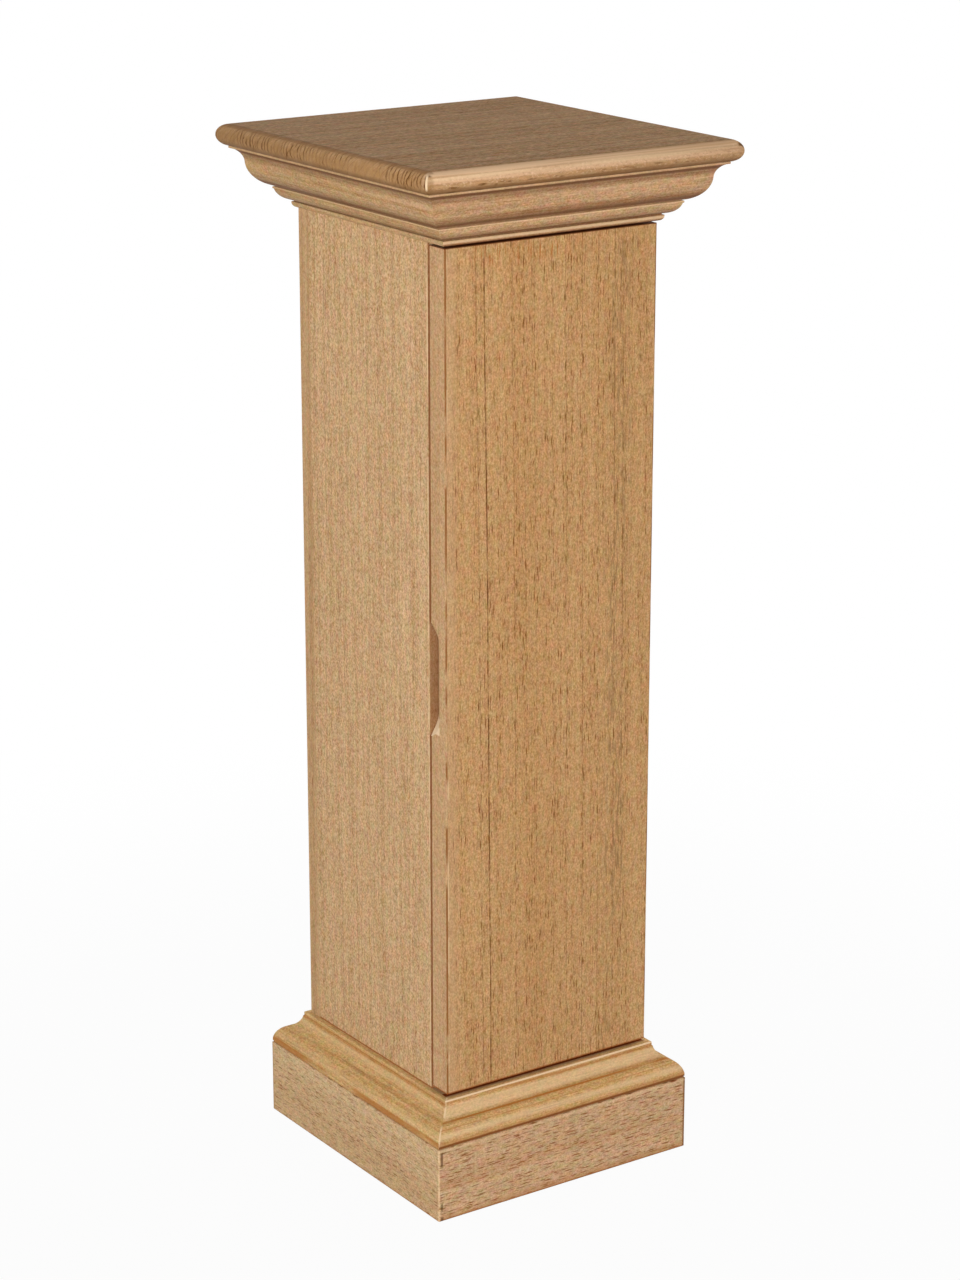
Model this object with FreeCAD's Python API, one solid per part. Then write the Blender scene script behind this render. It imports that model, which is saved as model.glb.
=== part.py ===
import FreeCAD
import Part

import math
import os

# A square column plant stand: a tall narrow cupboard on a moulded plinth, with a moulded cornice
# under a bullnosed top. Millimetres, +Z up, origin on the floor below the middle of the column,
# door towards -Y, hinges on the +X side.

# Overall sizes
stand_height = 762.0
column_width = 178.0
column_depth = 187.0
column_lift = 3.0            # the column ends this far above the floor, the plinth carries the load

# Boards
top_thickness = 15.6
top_overhang = 42.5
side_thickness = 16.0
back_thickness = 13.0
panel_thickness = 16.0       # cupboard floor, ceiling and shelves
arris_radius = 0.8           # eased edges of the door, the sides and the plinth

# Door
door_thickness = 19.0
door_back_gap = 1.0
door_top_gap = 1.6
door_bottom_gap = 2.6
edge_band_thickness = 1.2
door_overlap = 12.0          # the door's lower edge covers this much of the cupboard floor's edge

# Finger notch, a stopped chamfer in the rear arris of the door's free edge
notch_length = 84.0
notch_center_height = 395.8
notch_depth = 11.0           # through the door's thickness
notch_reach = 6.6            # across the door
notch_pilot_radius = 5.0

# Plinth and the cap moulding on it
plinth_height = 56.4
plinth_projection = 22.6
plinth_corner_radius = 1.6
cap_height = 27.1
cap_lip_projection = 4.0
cap_lip_height = 3.0
cap_cove_start = 0.5         # the cove begins this far outside the lip
cap_cove_projection = 12.0
cap_cove_height = 14.8       # height of the end of the cove above the cap's underside
cap_nose_projection = 21.9
cap_nose_height = 3.0
cap_quirk_height = 1.7
cap_quirk_depth = 1.1
cap_cove_sagitta = 1.5
cap_nose_sagitta = 2.2

# Crown moulding, the upper tier of the cornice
crown_height = 28.0
crown_projection = 35.7
crown_fillet_height = 2.1
crown_fillet_step = 1.5
crown_waist_projection = 27.4
crown_waist_height = 17.0    # height of the turn from cove to round above the crown's underside
crown_foot_projection = 14.6
crown_quirk_height = 1.0
crown_quirk_depth = 2.8
crown_cove_sagitta = 1.8
crown_round_sagitta = 3.2

# Bed moulding, the lower tier of the cornice
bed_height = 14.5
bed_projection = 13.3
bed_fillet_height = 2.0
bed_fillet_step = 0.9
bed_foot_projection = 3.6
bed_quirk_height = 1.1
bed_quirk_depth = 1.4
bed_round_sagitta = 1.9
bead_height = 4.3
bead_upright = 0.8           # the straight part of the bead's face, above its round
bead_foot_projection = 0.5
bead_sagitta = 0.9

# Shelves on pegs
shelf_count = 2
shelf_setback = 12.0
shelf_side_clearance = 0.75
shelf_back_clearance = 1.0
peg_radius = 2.5
peg_hole_clearance = 0.05
peg_hole_depth = 10.0
peg_length = 9.0
peg_inset = 28.0             # from the front and the back of the cupboard to the peg holes
peg_pitch = 32.0
pegs_per_row = 5
peg_tongue_length = 11.0
peg_tongue_width = 9.0
peg_tongue_thickness = 2.0

# Dowels between the sides and the cupboard's floor and ceiling
dowel_radius = 4.0
dowel_length = 30.0
dowel_side_depth = 10.0
dowel_clearance = 0.05
dowel_end_clearance = 1.0
dowel_inset = 34.0

# Butt hinges
hinge_length = 50.0
hinge_end_distance = 70.0    # from the door's end to the near end of the hinge
leaf_thickness = 1.5
leaf_width = 13.0            # let into the wood
knuckle_radius = 3.0
knuckle_count = 5
knuckle_gap = 0.3
knuckle_stand_off = 0.5      # between the knuckles and the side of the column
knuckle_notch_clearance = 0.4
hinge_pin_radius = 1.5
hinge_pin_clearance = 0.05
hinge_button_radius = 2.6
hinge_button_height = 1.6
hinge_screw_spacing = 28.0
hinge_screw_inset = 7.0      # from the free edge of the leaf

# Wood screws
screw_clearance = 0.05
screw_tip_share = 0.25
hinge_screw_head_radius = 2.8
hinge_screw_radius = 1.3
hinge_screw_length = 14.0
board_screw_head_radius = 3.6
board_screw_radius = 1.75
board_screw_length = 26.0
back_screw_rows = 4
back_screw_end_distance = 110.0
top_screw_inset = 30.0
catch_screw_head_radius = 2.6
catch_screw_radius = 1.2
catch_screw_length = 11.0

# Magnetic catch
catch_length = 46.0
catch_body_length = 26.0
catch_depth = 14.0           # along the side panel
catch_height = 12.0          # off the side panel
catch_flange_thickness = 2.5
catch_set_back = 1.0         # of the housing behind the cupboard's front
magnet_length = 18.0
magnet_thickness = 5.0
magnet_depth = 9.0
pole_thickness = 1.2
pole_proud = 0.5
strike_thickness = 1.2
strike_length = 30.0
strike_width = 12.0

# Cutting tools run past the wood by this much, and edges are found within this distance
cut_margin = 1.0
match_distance = 0.001

# Derived levels and planes
half_width = column_width / 2
front_face = -column_depth / 2
rear_face = column_depth / 2
carcass_front = front_face + door_thickness + door_back_gap
door_rear = front_face + door_thickness
back_front = rear_face - back_thickness
inner_half_width = half_width - side_thickness
top_underside = stand_height - top_thickness
crown_bottom = top_underside - crown_height
bed_bottom = crown_bottom - bed_height
cap_top = plinth_height + cap_height
door_bottom = cap_top + door_bottom_gap
door_top = bed_bottom - door_top_gap
floor_top = door_bottom + door_overlap
floor_bottom = floor_top - panel_thickness
ceiling_bottom = top_underside - panel_thickness
hinge_axis_x = half_width + knuckle_stand_off + knuckle_radius
hinge_axis_y = door_rear + door_back_gap / 2
hinge_bottoms = {
    "upper": door_top - hinge_end_distance - hinge_length,
    "lower": door_bottom + hinge_end_distance,
}

X_AXIS = FreeCAD.Vector(1, 0, 0)
Y_AXIS = FreeCAD.Vector(0, 1, 0)
Z_AXIS = FreeCAD.Vector(0, 0, 1)


def point(x, y, z):
    return FreeCAD.Vector(x, y, z)


def box(x_low, x_high, y_low, y_high, z_low, z_high):
    return Part.makeBox(x_high - x_low, y_high - y_low, z_high - z_low, point(x_low, y_low, z_low))


def rod(radius, length, start, direction):
    return Part.makeCylinder(radius, length, start, direction)


def ease_vertical_edges(shape, corners, radius):
    """Round the upright edges of a board that stand at the given x, y corners."""
    chosen = []
    for edge in shape.Edges:
        span = edge.BoundBox
        upright = span.XLength < match_distance and span.YLength < match_distance
        for x, y in corners:
            if upright and math.hypot(span.XMin - x, span.YMin - y) < match_distance:
                chosen.append(edge)
    return shape.makeFillet(radius, chosen)


def bowed(start, end, sagitta):
    """The middle point of an arc from start to end; a positive sagitta bows it to the left."""
    run = (end[0] - start[0], end[1] - start[1])
    length = math.hypot(run[0], run[1])
    middle = ((start[0] + end[0]) / 2, (start[1] + end[1]) / 2)
    return (middle[0] - run[1] / length * sagitta, middle[1] + run[0] / length * sagitta)


def profile_face(start, steps):
    """A closed face in the plane of offset and height. A step is a corner, or a middle and an end."""
    edges = []
    here = start
    for step in steps + [(start,)]:
        there = step[-1]
        first = point(here[0], 0, here[1])
        last = point(there[0], 0, there[1])
        if len(step) == 2:
            middle = point(step[0][0], 0, step[0][1])
            edges.append(Part.Arc(first, middle, last).toShape())
        else:
            edges.append(Part.makeLine(first, last))
        here = there
    return Part.Face(Part.Wire(edges))


def mitred_lengths(face, projection):
    """Run a profile around the column, one mitred length for each of its four sides."""
    reach = projection + cut_margin
    lengths = {}
    for side, turn in (("right", 0), ("back", 90), ("left", 180), ("front", 270)):
        along_x = side in ("front", "back")
        out = column_depth / 2 if along_x else column_width / 2
        half_run = column_width / 2 if along_x else column_depth / 2
        run = face.copy()
        run.translate(point(out, -half_run - reach, 0))
        run = run.extrude(point(0, 2 * (half_run + reach), 0))
        low = run.BoundBox.ZMin - cut_margin
        corners = [
            point(out, -half_run, low),
            point(out + reach, -half_run - reach, low),
            point(out + reach, half_run + reach, low),
            point(out, half_run, low),
            point(out, -half_run, low),
        ]
        plan = Part.Face(Part.makePolygon(corners))
        length = run.common(plan.extrude(point(0, 0, run.BoundBox.ZLength + 2 * cut_margin)))
        length.rotate(point(0, 0, 0), Z_AXIS, turn)
        lengths[side] = length.Solids[0]
    return lengths


def crown_profile():
    fillet_bottom = top_underside - crown_fillet_height
    cove_top = (crown_projection - crown_fillet_step, fillet_bottom)
    waist = (crown_waist_projection, crown_bottom + crown_waist_height)
    foot = (crown_foot_projection, crown_bottom + crown_quirk_height)
    quirk = crown_foot_projection - crown_quirk_depth
    return profile_face((0, top_underside), [
        ((crown_projection, top_underside),),
        ((crown_projection, fillet_bottom),),
        (cove_top,),
        (bowed(cove_top, waist, -crown_cove_sagitta), waist),
        (bowed(waist, foot, crown_round_sagitta), foot),
        ((quirk, foot[1]),),
        ((quirk, crown_bottom),),
        ((0, crown_bottom),),
    ])


def bed_profile():
    fillet_bottom = crown_bottom - bed_fillet_height
    round_top = (bed_projection - bed_fillet_step, fillet_bottom)
    bead_top = bed_bottom + bead_height
    foot = (bed_foot_projection, bead_top + bed_quirk_height)
    quirk = bed_foot_projection - bed_quirk_depth
    bead_turn = (bed_foot_projection, bead_top - bead_upright)
    bead_foot = (bead_foot_projection, bed_bottom)
    return profile_face((0, crown_bottom), [
        ((bed_projection, crown_bottom),),
        ((bed_projection, fillet_bottom),),
        (round_top,),
        (bowed(round_top, foot, bed_round_sagitta), foot),
        ((quirk, foot[1]),),
        ((quirk, bead_top),),
        ((bed_foot_projection, bead_top),),
        (bead_turn,),
        (bowed(bead_turn, bead_foot, bead_sagitta), bead_foot),
        ((0, bed_bottom),),
    ])


def cap_profile():
    lip_bottom = cap_top - cap_lip_height
    cove_top = (cap_lip_projection + cap_cove_start, lip_bottom)
    turn = (cap_cove_projection, plinth_height + cap_cove_height)
    nose = (cap_nose_projection, plinth_height + cap_nose_height)
    quirk_top = plinth_height + cap_quirk_height
    quirk = cap_nose_projection - cap_quirk_depth
    return profile_face((0, cap_top), [
        ((cap_lip_projection, cap_top),),
        ((cap_lip_projection, lip_bottom),),
        (cove_top,),
        (bowed(cove_top, turn, -cap_cove_sagitta), turn),
        (bowed(turn, nose, cap_nose_sagitta), nose),
        ((cap_nose_projection, quirk_top),),
        ((quirk, quirk_top),),
        ((quirk, plinth_height),),
        ((0, plinth_height),),
    ])


def plinth_profile():
    eased = arris_radius * (1 - math.sqrt(0.5))
    outer = plinth_projection
    return profile_face((0, plinth_height), [
        ((outer - arris_radius, plinth_height),),
        ((outer - eased, plinth_height - eased), (outer, plinth_height - arris_radius)),
        ((outer, arris_radius),),
        ((outer - eased, eased), (outer - arris_radius, 0)),
        ((0, 0),),
    ])


def plinth_lengths():
    """The mitred plinth boards, with the corners of the plinth rounded on plan."""
    half_x = half_width + plinth_projection
    half_y = column_depth / 2 + plinth_projection
    plan = box(-half_x, half_x, -half_y, half_y, -cut_margin, plinth_height + cut_margin)
    corners = [(x, y) for x in (-half_x, half_x) for y in (-half_y, half_y)]
    plan = ease_vertical_edges(plan, corners, plinth_corner_radius)
    boards = mitred_lengths(plinth_profile(), plinth_projection)
    return {side: board.common(plan).Solids[0] for side, board in boards.items()}


def bullnosed_top():
    """A board whose half-round edges meet in sharp corners, as two crossing bullnosed runs."""
    nose = top_thickness / 2
    half_x = half_width + top_overhang
    half_y = column_depth / 2 + top_overhang
    middle = top_underside + nose
    runs = []
    for half_run, half_across, turn in ((half_x, half_y, 90), (half_y, half_x, 0)):
        flat = half_across - nose
        run = profile_face((-flat, top_underside), [
            ((-half_across, middle), (-flat, stand_height)),
            ((flat, stand_height),),
            ((half_across, middle), (flat, top_underside)),
        ])
        run.translate(point(0, -half_run, 0))
        run = run.extrude(point(0, 2 * half_run, 0))
        run.rotate(point(0, 0, 0), Z_AXIS, turn)
        runs.append(run)
    return runs[0].common(runs[1]).Solids[0]


def wood_screw(head_radius, radius, length, seat, direction, clearance=0.0):
    """A countersunk screw whose flat head lies at seat; the clearance makes the hole for it."""
    head_height = head_radius - radius
    tip = length * screw_tip_share
    axis = FreeCAD.Vector(direction)
    shank_start = seat + axis * head_height
    head = Part.makeCone(head_radius, radius, head_height, seat, axis)
    if clearance:
        bore = rod(radius + clearance, length - head_height + clearance, shank_start, axis)
        return head.fuse(bore).removeSplitter()
    shank = rod(radius, length - head_height - tip, shank_start, axis)
    point_start = seat + axis * (length - tip)
    point_cone = Part.makeCone(radius, radius * screw_tip_share, tip, point_start, axis)
    return head.fuse([shank, point_cone]).removeSplitter()


def drill(shape, tools):
    for tool in tools:
        shape = shape.cut(tool)
    return shape


def hinge_screw_heights(bottom):
    middle = bottom + hinge_length / 2
    return (middle - hinge_screw_spacing / 2, middle + hinge_screw_spacing / 2)


def hinge_screws(on_door, clearance=0.0):
    """The screws of both hinges on one side of the joint, or the holes for them."""
    flush = door_rear if on_door else carcass_front
    direction = -Y_AXIS if on_door else Y_AXIS
    x = half_width - leaf_width + hinge_screw_inset
    screws = []
    for bottom in hinge_bottoms.values():
        for z in hinge_screw_heights(bottom):
            screws.append(wood_screw(hinge_screw_head_radius, hinge_screw_radius, hinge_screw_length,
                                     point(x, flush, z), direction, clearance))
    return screws


def leaf_plate(bottom, on_door):
    inner = door_back_gap / 2
    outer = inner + leaf_thickness
    y_low = hinge_axis_y - outer if on_door else hinge_axis_y + inner
    return box(half_width - leaf_width, hinge_axis_x, y_low, y_low + leaf_thickness,
               bottom, bottom + hinge_length)


def leaf_mortise(bottom, on_door):
    plate = leaf_plate(bottom, on_door)
    reach = plate.BoundBox
    return box(reach.XMin, half_width, reach.YMin, reach.YMax, reach.ZMin, reach.ZMax)


def hinge_leaf(bottom, on_door):
    """One leaf with its share of the knuckles: the side leaf has the odd ones, so both ends."""
    pitch = (hinge_length + knuckle_gap) / knuckle_count
    leaf = leaf_plate(bottom, on_door)
    for number in range(knuckle_count):
        start = point(hinge_axis_x, hinge_axis_y, bottom + number * pitch)
        if (number % 2 == 1) == on_door:
            leaf = leaf.fuse(rod(knuckle_radius, pitch - knuckle_gap, start, Z_AXIS))
        else:
            room = start - Z_AXIS * knuckle_gap
            leaf = leaf.cut(rod(knuckle_radius + knuckle_notch_clearance, pitch + knuckle_gap, room, Z_AXIS))
    bore_start = point(hinge_axis_x, hinge_axis_y, bottom - cut_margin)
    bore_radius = hinge_pin_radius + hinge_pin_clearance
    leaf = leaf.cut(rod(bore_radius, hinge_length + 2 * cut_margin, bore_start, Z_AXIS))
    leaf = drill(leaf, hinge_screws(on_door, screw_clearance))
    return leaf.removeSplitter().Solids[0]


def hinge_pins():
    pins = []
    for bottom in hinge_bottoms.values():
        foot = point(hinge_axis_x, hinge_axis_y, bottom)
        head = point(hinge_axis_x, hinge_axis_y, bottom + hinge_length)
        pin = rod(hinge_pin_radius, hinge_length, foot, Z_AXIS)
        top_button = Part.makeCone(hinge_button_radius, hinge_pin_radius, hinge_button_height, head, Z_AXIS)
        low_button = Part.makeCone(hinge_button_radius, hinge_pin_radius, hinge_button_height, foot, -Z_AXIS)
        pins.append(pin.fuse([top_button, low_button]).removeSplitter())
    return pins


def notch_cutter():
    """A tapered bit's path along the rear arris of the door's free edge, run from the edge's side."""
    taper = notch_depth / notch_reach
    narrow = notch_pilot_radius
    wide = narrow + notch_depth + cut_margin * taper
    half_straight = notch_length / 2 - math.sqrt((narrow + notch_depth) ** 2 - narrow ** 2)
    outside = -half_width - cut_margin
    deepest = -half_width + notch_reach
    axis_y = door_rear + narrow
    low = notch_center_height - half_straight
    high = notch_center_height + half_straight
    ends = []
    for z in (low, high):
        ends.append(Part.makeCone(wide, narrow, deepest - outside, point(outside, axis_y, z), X_AXIS))
    corners = [
        point(outside, axis_y, low),
        point(outside, axis_y - wide, low),
        point(deepest, door_rear, low),
        point(deepest, axis_y, low),
        point(outside, axis_y, low),
    ]
    path = Part.Face(Part.makePolygon(corners)).extrude(point(0, 0, high - low))
    return path.fuse(ends)


def shelf_levels():
    """Heights of the undersides of the shelves, which share the cupboard evenly."""
    room = ceiling_bottom - floor_top
    bay = (room - shelf_count * panel_thickness) / (shelf_count + 1)
    return [floor_top + bay + number * (bay + panel_thickness) for number in range(shelf_count)]


def catch_height_above_floor():
    """The catch sits in the middle of the bay above the middle shelf."""
    levels = shelf_levels() + [ceiling_bottom]
    number = (shelf_count - 1) // 2
    return (levels[number] + panel_thickness + levels[number + 1]) / 2


def peg_places():
    return (carcass_front + peg_inset, back_front - peg_inset)


def peg_hole_height(level):
    return level - peg_tongue_thickness / 2


def peg_holes(sign):
    """A row of holes at the front and the back for each shelf, in one side panel."""
    holes = []
    for level in shelf_levels():
        for number in range(pegs_per_row):
            z = peg_hole_height(level) + (number - pegs_per_row // 2) * peg_pitch
            for y in peg_places():
                start = point(sign * inner_half_width, y, z)
                holes.append(rod(peg_radius + peg_hole_clearance, peg_hole_depth, start, X_AXIS * sign))
    return holes


def shelf_pegs(level):
    """Four pegs with flat tongues that carry one shelf."""
    pegs = []
    for sign in (-1, 1):
        for y in peg_places():
            start = point(sign * inner_half_width, y, peg_hole_height(level))
            peg = rod(peg_radius, peg_length, start, X_AXIS * sign)
            ends = sorted((sign * inner_half_width, sign * (inner_half_width - peg_tongue_length)))
            tongue = box(ends[0], ends[1], y - peg_tongue_width / 2, y + peg_tongue_width / 2,
                         level - peg_tongue_thickness, level)
            pegs.append(peg.fuse(tongue))
    return pegs


def carcass_dowels(clearance=0.0):
    """Two dowels at each end of the cupboard's floor and ceiling, or the holes for them."""
    extra = dowel_end_clearance if clearance else 0.0
    start = inner_half_width + dowel_side_depth + extra
    dowels = []
    for level in (floor_bottom + panel_thickness / 2, ceiling_bottom + panel_thickness / 2):
        for y in (carcass_front + dowel_inset, back_front - dowel_inset):
            for sign in (-1, 1):
                dowels.append(rod(dowel_radius + clearance, dowel_length + 2 * extra,
                                  point(sign * start, y, level), X_AXIS * -sign))
    return dowels


def back_screws(clearance=0.0):
    """Screws through the back panel into the rear edges of the side panels, or their holes."""
    span = stand_height - 2 * back_screw_end_distance
    screws = []
    for sign in (-1, 1):
        for number in range(back_screw_rows):
            z = back_screw_end_distance + span * number / (back_screw_rows - 1)
            seat = point(sign * (half_width - side_thickness / 2), rear_face, z)
            screws.append(wood_screw(board_screw_head_radius, board_screw_radius, board_screw_length,
                                     seat, -Y_AXIS, clearance))
    return screws


def top_screws(clearance=0.0):
    """Screws up through the cupboard's ceiling into the top board, or their holes."""
    screws = []
    for x in (-inner_half_width + top_screw_inset, inner_half_width - top_screw_inset):
        for y in (carcass_front + top_screw_inset, back_front - top_screw_inset):
            screws.append(wood_screw(board_screw_head_radius, board_screw_radius, board_screw_length,
                                     point(x, y, ceiling_bottom), Z_AXIS, clearance))
    return screws


def catch_screw_points():
    inset = (catch_length - catch_body_length) / 4
    seat_x = -inner_half_width + catch_flange_thickness
    y = carcass_front + catch_set_back + catch_depth / 2
    low = catch_height_above_floor() - catch_length / 2 + inset
    high = catch_height_above_floor() + catch_length / 2 - inset
    return [point(seat_x, y, low), point(seat_x, y, high)]


def catch_screws(clearance=0.0):
    screws = []
    for seat in catch_screw_points():
        screws.append(wood_screw(catch_screw_head_radius, catch_screw_radius, catch_screw_length,
                                 seat, -X_AXIS, clearance))
    return screws


def magnet_stack():
    """The magnet and the two steel plates that carry its pull to the door, as x spans."""
    middle = -inner_half_width + catch_height / 2
    inner = magnet_thickness / 2
    return {
        "magnet": (middle - inner, middle + inner),
        "low_pole": (middle - inner - pole_thickness, middle - inner),
        "high_pole": (middle + inner, middle + inner + pole_thickness),
    }


def magnet_block():
    spans = magnet_stack()
    front = carcass_front + catch_set_back
    low = catch_height_above_floor() - magnet_length / 2
    return box(spans["magnet"][0], spans["magnet"][1], front, front + magnet_depth, low, low + magnet_length)


def pole_plates():
    spans = magnet_stack()
    front = carcass_front + catch_set_back
    low = catch_height_above_floor() - magnet_length / 2
    plates = []
    for name in ("low_pole", "high_pole"):
        plates.append(box(spans[name][0], spans[name][1], front - pole_proud, front + magnet_depth,
                          low, low + magnet_length))
    return plates


def catch_housing():
    wall = -inner_half_width
    front = carcass_front + catch_set_back
    spans = magnet_stack()
    low = catch_height_above_floor() - catch_length / 2
    body_low = catch_height_above_floor() - catch_body_length / 2
    flange = box(wall, wall + catch_flange_thickness, front, front + catch_depth, low, low + catch_length)
    body = box(wall, wall + catch_height, front, front + catch_depth, body_low, body_low + catch_body_length)
    pocket_low = catch_height_above_floor() - magnet_length / 2
    pocket = box(spans["low_pole"][0], spans["high_pole"][1], front, front + magnet_depth,
                 pocket_low, pocket_low + magnet_length)
    return drill(flange.fuse(body).cut(pocket), catch_screws(screw_clearance)).removeSplitter()


def strike_center_x():
    return -inner_half_width + catch_height / 2


def strike_screw(clearance=0.0):
    seat = point(strike_center_x(), door_rear + strike_thickness, catch_height_above_floor())
    return wood_screw(catch_screw_head_radius, catch_screw_radius, catch_screw_length,
                      seat, -Y_AXIS, clearance)


def strike_plate():
    x = strike_center_x()
    low = catch_height_above_floor() - strike_length / 2
    plate = box(x - strike_width / 2, x + strike_width / 2, door_rear, door_rear + strike_thickness,
                low, low + strike_length)
    return plate.cut(strike_screw(screw_clearance))


def side_panel(sign):
    """A side of the column, drilled for pegs and dowels; the right one is let in for the hinges."""
    ends = sorted((sign * half_width, sign * inner_half_width))
    panel = box(ends[0], ends[1], carcass_front, back_front, column_lift, top_underside)
    panel = ease_vertical_edges(panel, [(sign * half_width, carcass_front)], arris_radius)
    panel = drill(panel, peg_holes(sign))
    panel = drill(panel, carcass_dowels(dowel_clearance))
    panel = drill(panel, back_screws(screw_clearance))
    if sign > 0:
        panel = drill(panel, [leaf_mortise(bottom, False) for bottom in hinge_bottoms.values()])
        panel = drill(panel, hinge_screws(False, screw_clearance))
    else:
        panel = drill(panel, catch_screws(screw_clearance))
    return panel


def cross_panel(bottom):
    panel = box(-inner_half_width, inner_half_width, carcass_front, back_front,
                bottom, bottom + panel_thickness)
    return drill(panel, carcass_dowels(dowel_clearance))


def front_rail(bottom, top):
    """A board in the plane of the door that closes the front above or below it."""
    return box(-half_width, half_width, front_face, carcass_front, bottom, top)


def shelf(level):
    reach = inner_half_width - shelf_side_clearance
    return box(-reach, reach, carcass_front + shelf_setback, back_front - shelf_back_clearance,
               level, level + panel_thickness)


def door_board(x_low, x_high):
    """A slice of the door between two widths, with everything that is cut into the door."""
    board = box(x_low, x_high, front_face, door_rear, door_bottom, door_top)
    corners = [(-half_width, front_face), (half_width, front_face)]
    if x_low == -half_width or x_high == half_width:
        board = ease_vertical_edges(board, corners, arris_radius)
    board = board.cut(notch_cutter())
    board = drill(board, [leaf_mortise(bottom, True) for bottom in hinge_bottoms.values()])
    board = drill(board, hinge_screws(True, screw_clearance))
    return board.cut(strike_screw(screw_clearance))


def build_parts():
    parts = {}
    parts["top_board"] = drill(bullnosed_top(), top_screws(screw_clearance))
    tiers = {
        "crown": mitred_lengths(crown_profile(), crown_projection),
        "bed_moulding": mitred_lengths(bed_profile(), bed_projection),
        "base_cap": mitred_lengths(cap_profile(), cap_nose_projection),
        "plinth": plinth_lengths(),
    }
    for tier, lengths in tiers.items():
        for side, length in lengths.items():
            parts[tier + "_" + side] = length

    parts["left_side_panel"] = side_panel(-1)
    parts["right_side_panel"] = side_panel(1)
    back = box(-half_width, half_width, back_front, rear_face, column_lift, top_underside)
    parts["back_panel"] = drill(back, back_screws(screw_clearance))
    parts["cupboard_floor"] = cross_panel(floor_bottom)
    parts["cupboard_ceiling"] = drill(cross_panel(ceiling_bottom), top_screws(screw_clearance))
    parts["upper_front_rail"] = front_rail(bed_bottom, top_underside)
    parts["lower_front_rail"] = front_rail(column_lift, cap_top)
    for number, level in enumerate(shelf_levels(), start=1):
        parts["shelf_" + str(number)] = shelf(level)
        parts["shelf_pegs_" + str(number)] = Part.makeCompound(shelf_pegs(level))
    parts["carcass_dowels"] = Part.makeCompound(carcass_dowels())
    parts["back_screws"] = Part.makeCompound(back_screws())
    parts["top_screws"] = Part.makeCompound(top_screws())

    for place, bottom in hinge_bottoms.items():
        parts[place + "_hinge_side_leaf"] = hinge_leaf(bottom, False)
        parts[place + "_hinge_door_leaf"] = hinge_leaf(bottom, True)
    parts["hinge_pins"] = Part.makeCompound(hinge_pins())
    parts["hinge_side_screws"] = Part.makeCompound(hinge_screws(False))
    parts["hinge_door_screws"] = Part.makeCompound(hinge_screws(True))

    banded = half_width - edge_band_thickness
    parts["door_panel"] = door_board(-banded, banded)
    parts["door_free_edge_band"] = door_board(-half_width, -banded)
    parts["door_hinge_edge_band"] = door_board(banded, half_width)

    parts["catch_housing"] = catch_housing()
    parts["catch_magnet"] = magnet_block()
    parts["catch_pole_plates"] = Part.makeCompound(pole_plates())
    parts["catch_screws"] = Part.makeCompound(catch_screws())
    parts["strike_plate"] = strike_plate()
    parts["strike_screw"] = strike_screw()
    return parts


os.makedirs("parts", exist_ok=True)
for name, shape in build_parts().items():
    shape.exportStep("parts/" + name + ".step")
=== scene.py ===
import math

import bmesh
import bpy
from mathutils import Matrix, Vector


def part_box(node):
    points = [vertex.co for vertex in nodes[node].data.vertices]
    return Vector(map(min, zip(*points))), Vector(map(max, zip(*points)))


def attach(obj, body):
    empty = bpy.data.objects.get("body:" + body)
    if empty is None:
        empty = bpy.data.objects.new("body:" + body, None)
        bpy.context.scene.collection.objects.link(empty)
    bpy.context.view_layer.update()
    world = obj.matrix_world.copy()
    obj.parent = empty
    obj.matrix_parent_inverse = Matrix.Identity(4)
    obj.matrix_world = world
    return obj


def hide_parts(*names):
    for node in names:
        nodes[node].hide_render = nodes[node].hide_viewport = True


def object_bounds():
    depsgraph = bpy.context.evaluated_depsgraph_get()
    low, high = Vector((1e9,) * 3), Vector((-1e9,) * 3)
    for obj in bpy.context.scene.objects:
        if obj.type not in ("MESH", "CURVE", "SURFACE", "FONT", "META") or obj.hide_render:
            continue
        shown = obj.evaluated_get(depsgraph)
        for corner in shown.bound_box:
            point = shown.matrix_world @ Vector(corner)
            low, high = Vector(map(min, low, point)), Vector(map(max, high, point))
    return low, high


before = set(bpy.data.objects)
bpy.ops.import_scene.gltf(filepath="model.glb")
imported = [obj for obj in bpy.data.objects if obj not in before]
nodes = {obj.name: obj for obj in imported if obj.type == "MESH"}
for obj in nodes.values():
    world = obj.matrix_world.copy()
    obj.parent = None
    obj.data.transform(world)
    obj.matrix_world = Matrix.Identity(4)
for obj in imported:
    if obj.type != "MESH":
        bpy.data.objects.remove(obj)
cadBox = [list(corner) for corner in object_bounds()]
scene = bpy.context.scene
scene.view_settings.view_transform = "Standard"
mm = 0.001
far = 900  # past every face of the stand, in millimetres
quarter = math.pi / 2
print("frame loaded:", len(nodes), "nodes")


# Levels and faces in millimetres, read from the frame
def spanOf(node):
    low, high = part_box(node)
    return low / mm, high / mm


halfWidth, halfDepth = spanOf("back_panel")[1].x, spanOf("back_panel")[1].y
topFoot, topFace = spanOf("top_board")[0].z, spanOf("top_board")[1].z
topReachX, topReachY = spanOf("top_board")[1].x, spanOf("top_board")[1].y
crownFoot = spanOf("crown_front")[0].z
bedFoot = spanOf("bed_moulding_front")[0].z
capFoot, capTop = spanOf("base_cap_front")[0].z, spanOf("base_cap_front")[1].z
plinthReachX, plinthReachY = spanOf("plinth_right")[1].x, spanOf("plinth_back")[1].y
doorLow, doorHigh = spanOf("door_panel")
sideFront = spanOf("left_side_panel")[0].y
mitrePlace = halfDepth - halfWidth  # x - y along the front left mitre
notchFoot, notchHead = 353.8, 437.8  # ends of the finger notch in the door panel


# Camera at the height and angle of the photograph
cameraView = {
    "azimuth": 34.335,
    "elevation": 17.141,
    "distance": 2.428,
    "aimRight": 0.00294,
    "aimUp": 0.0087,
    "lens": 93.264,
    "sensor": 36,
    "clip": (0.05, 60),
}


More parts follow.
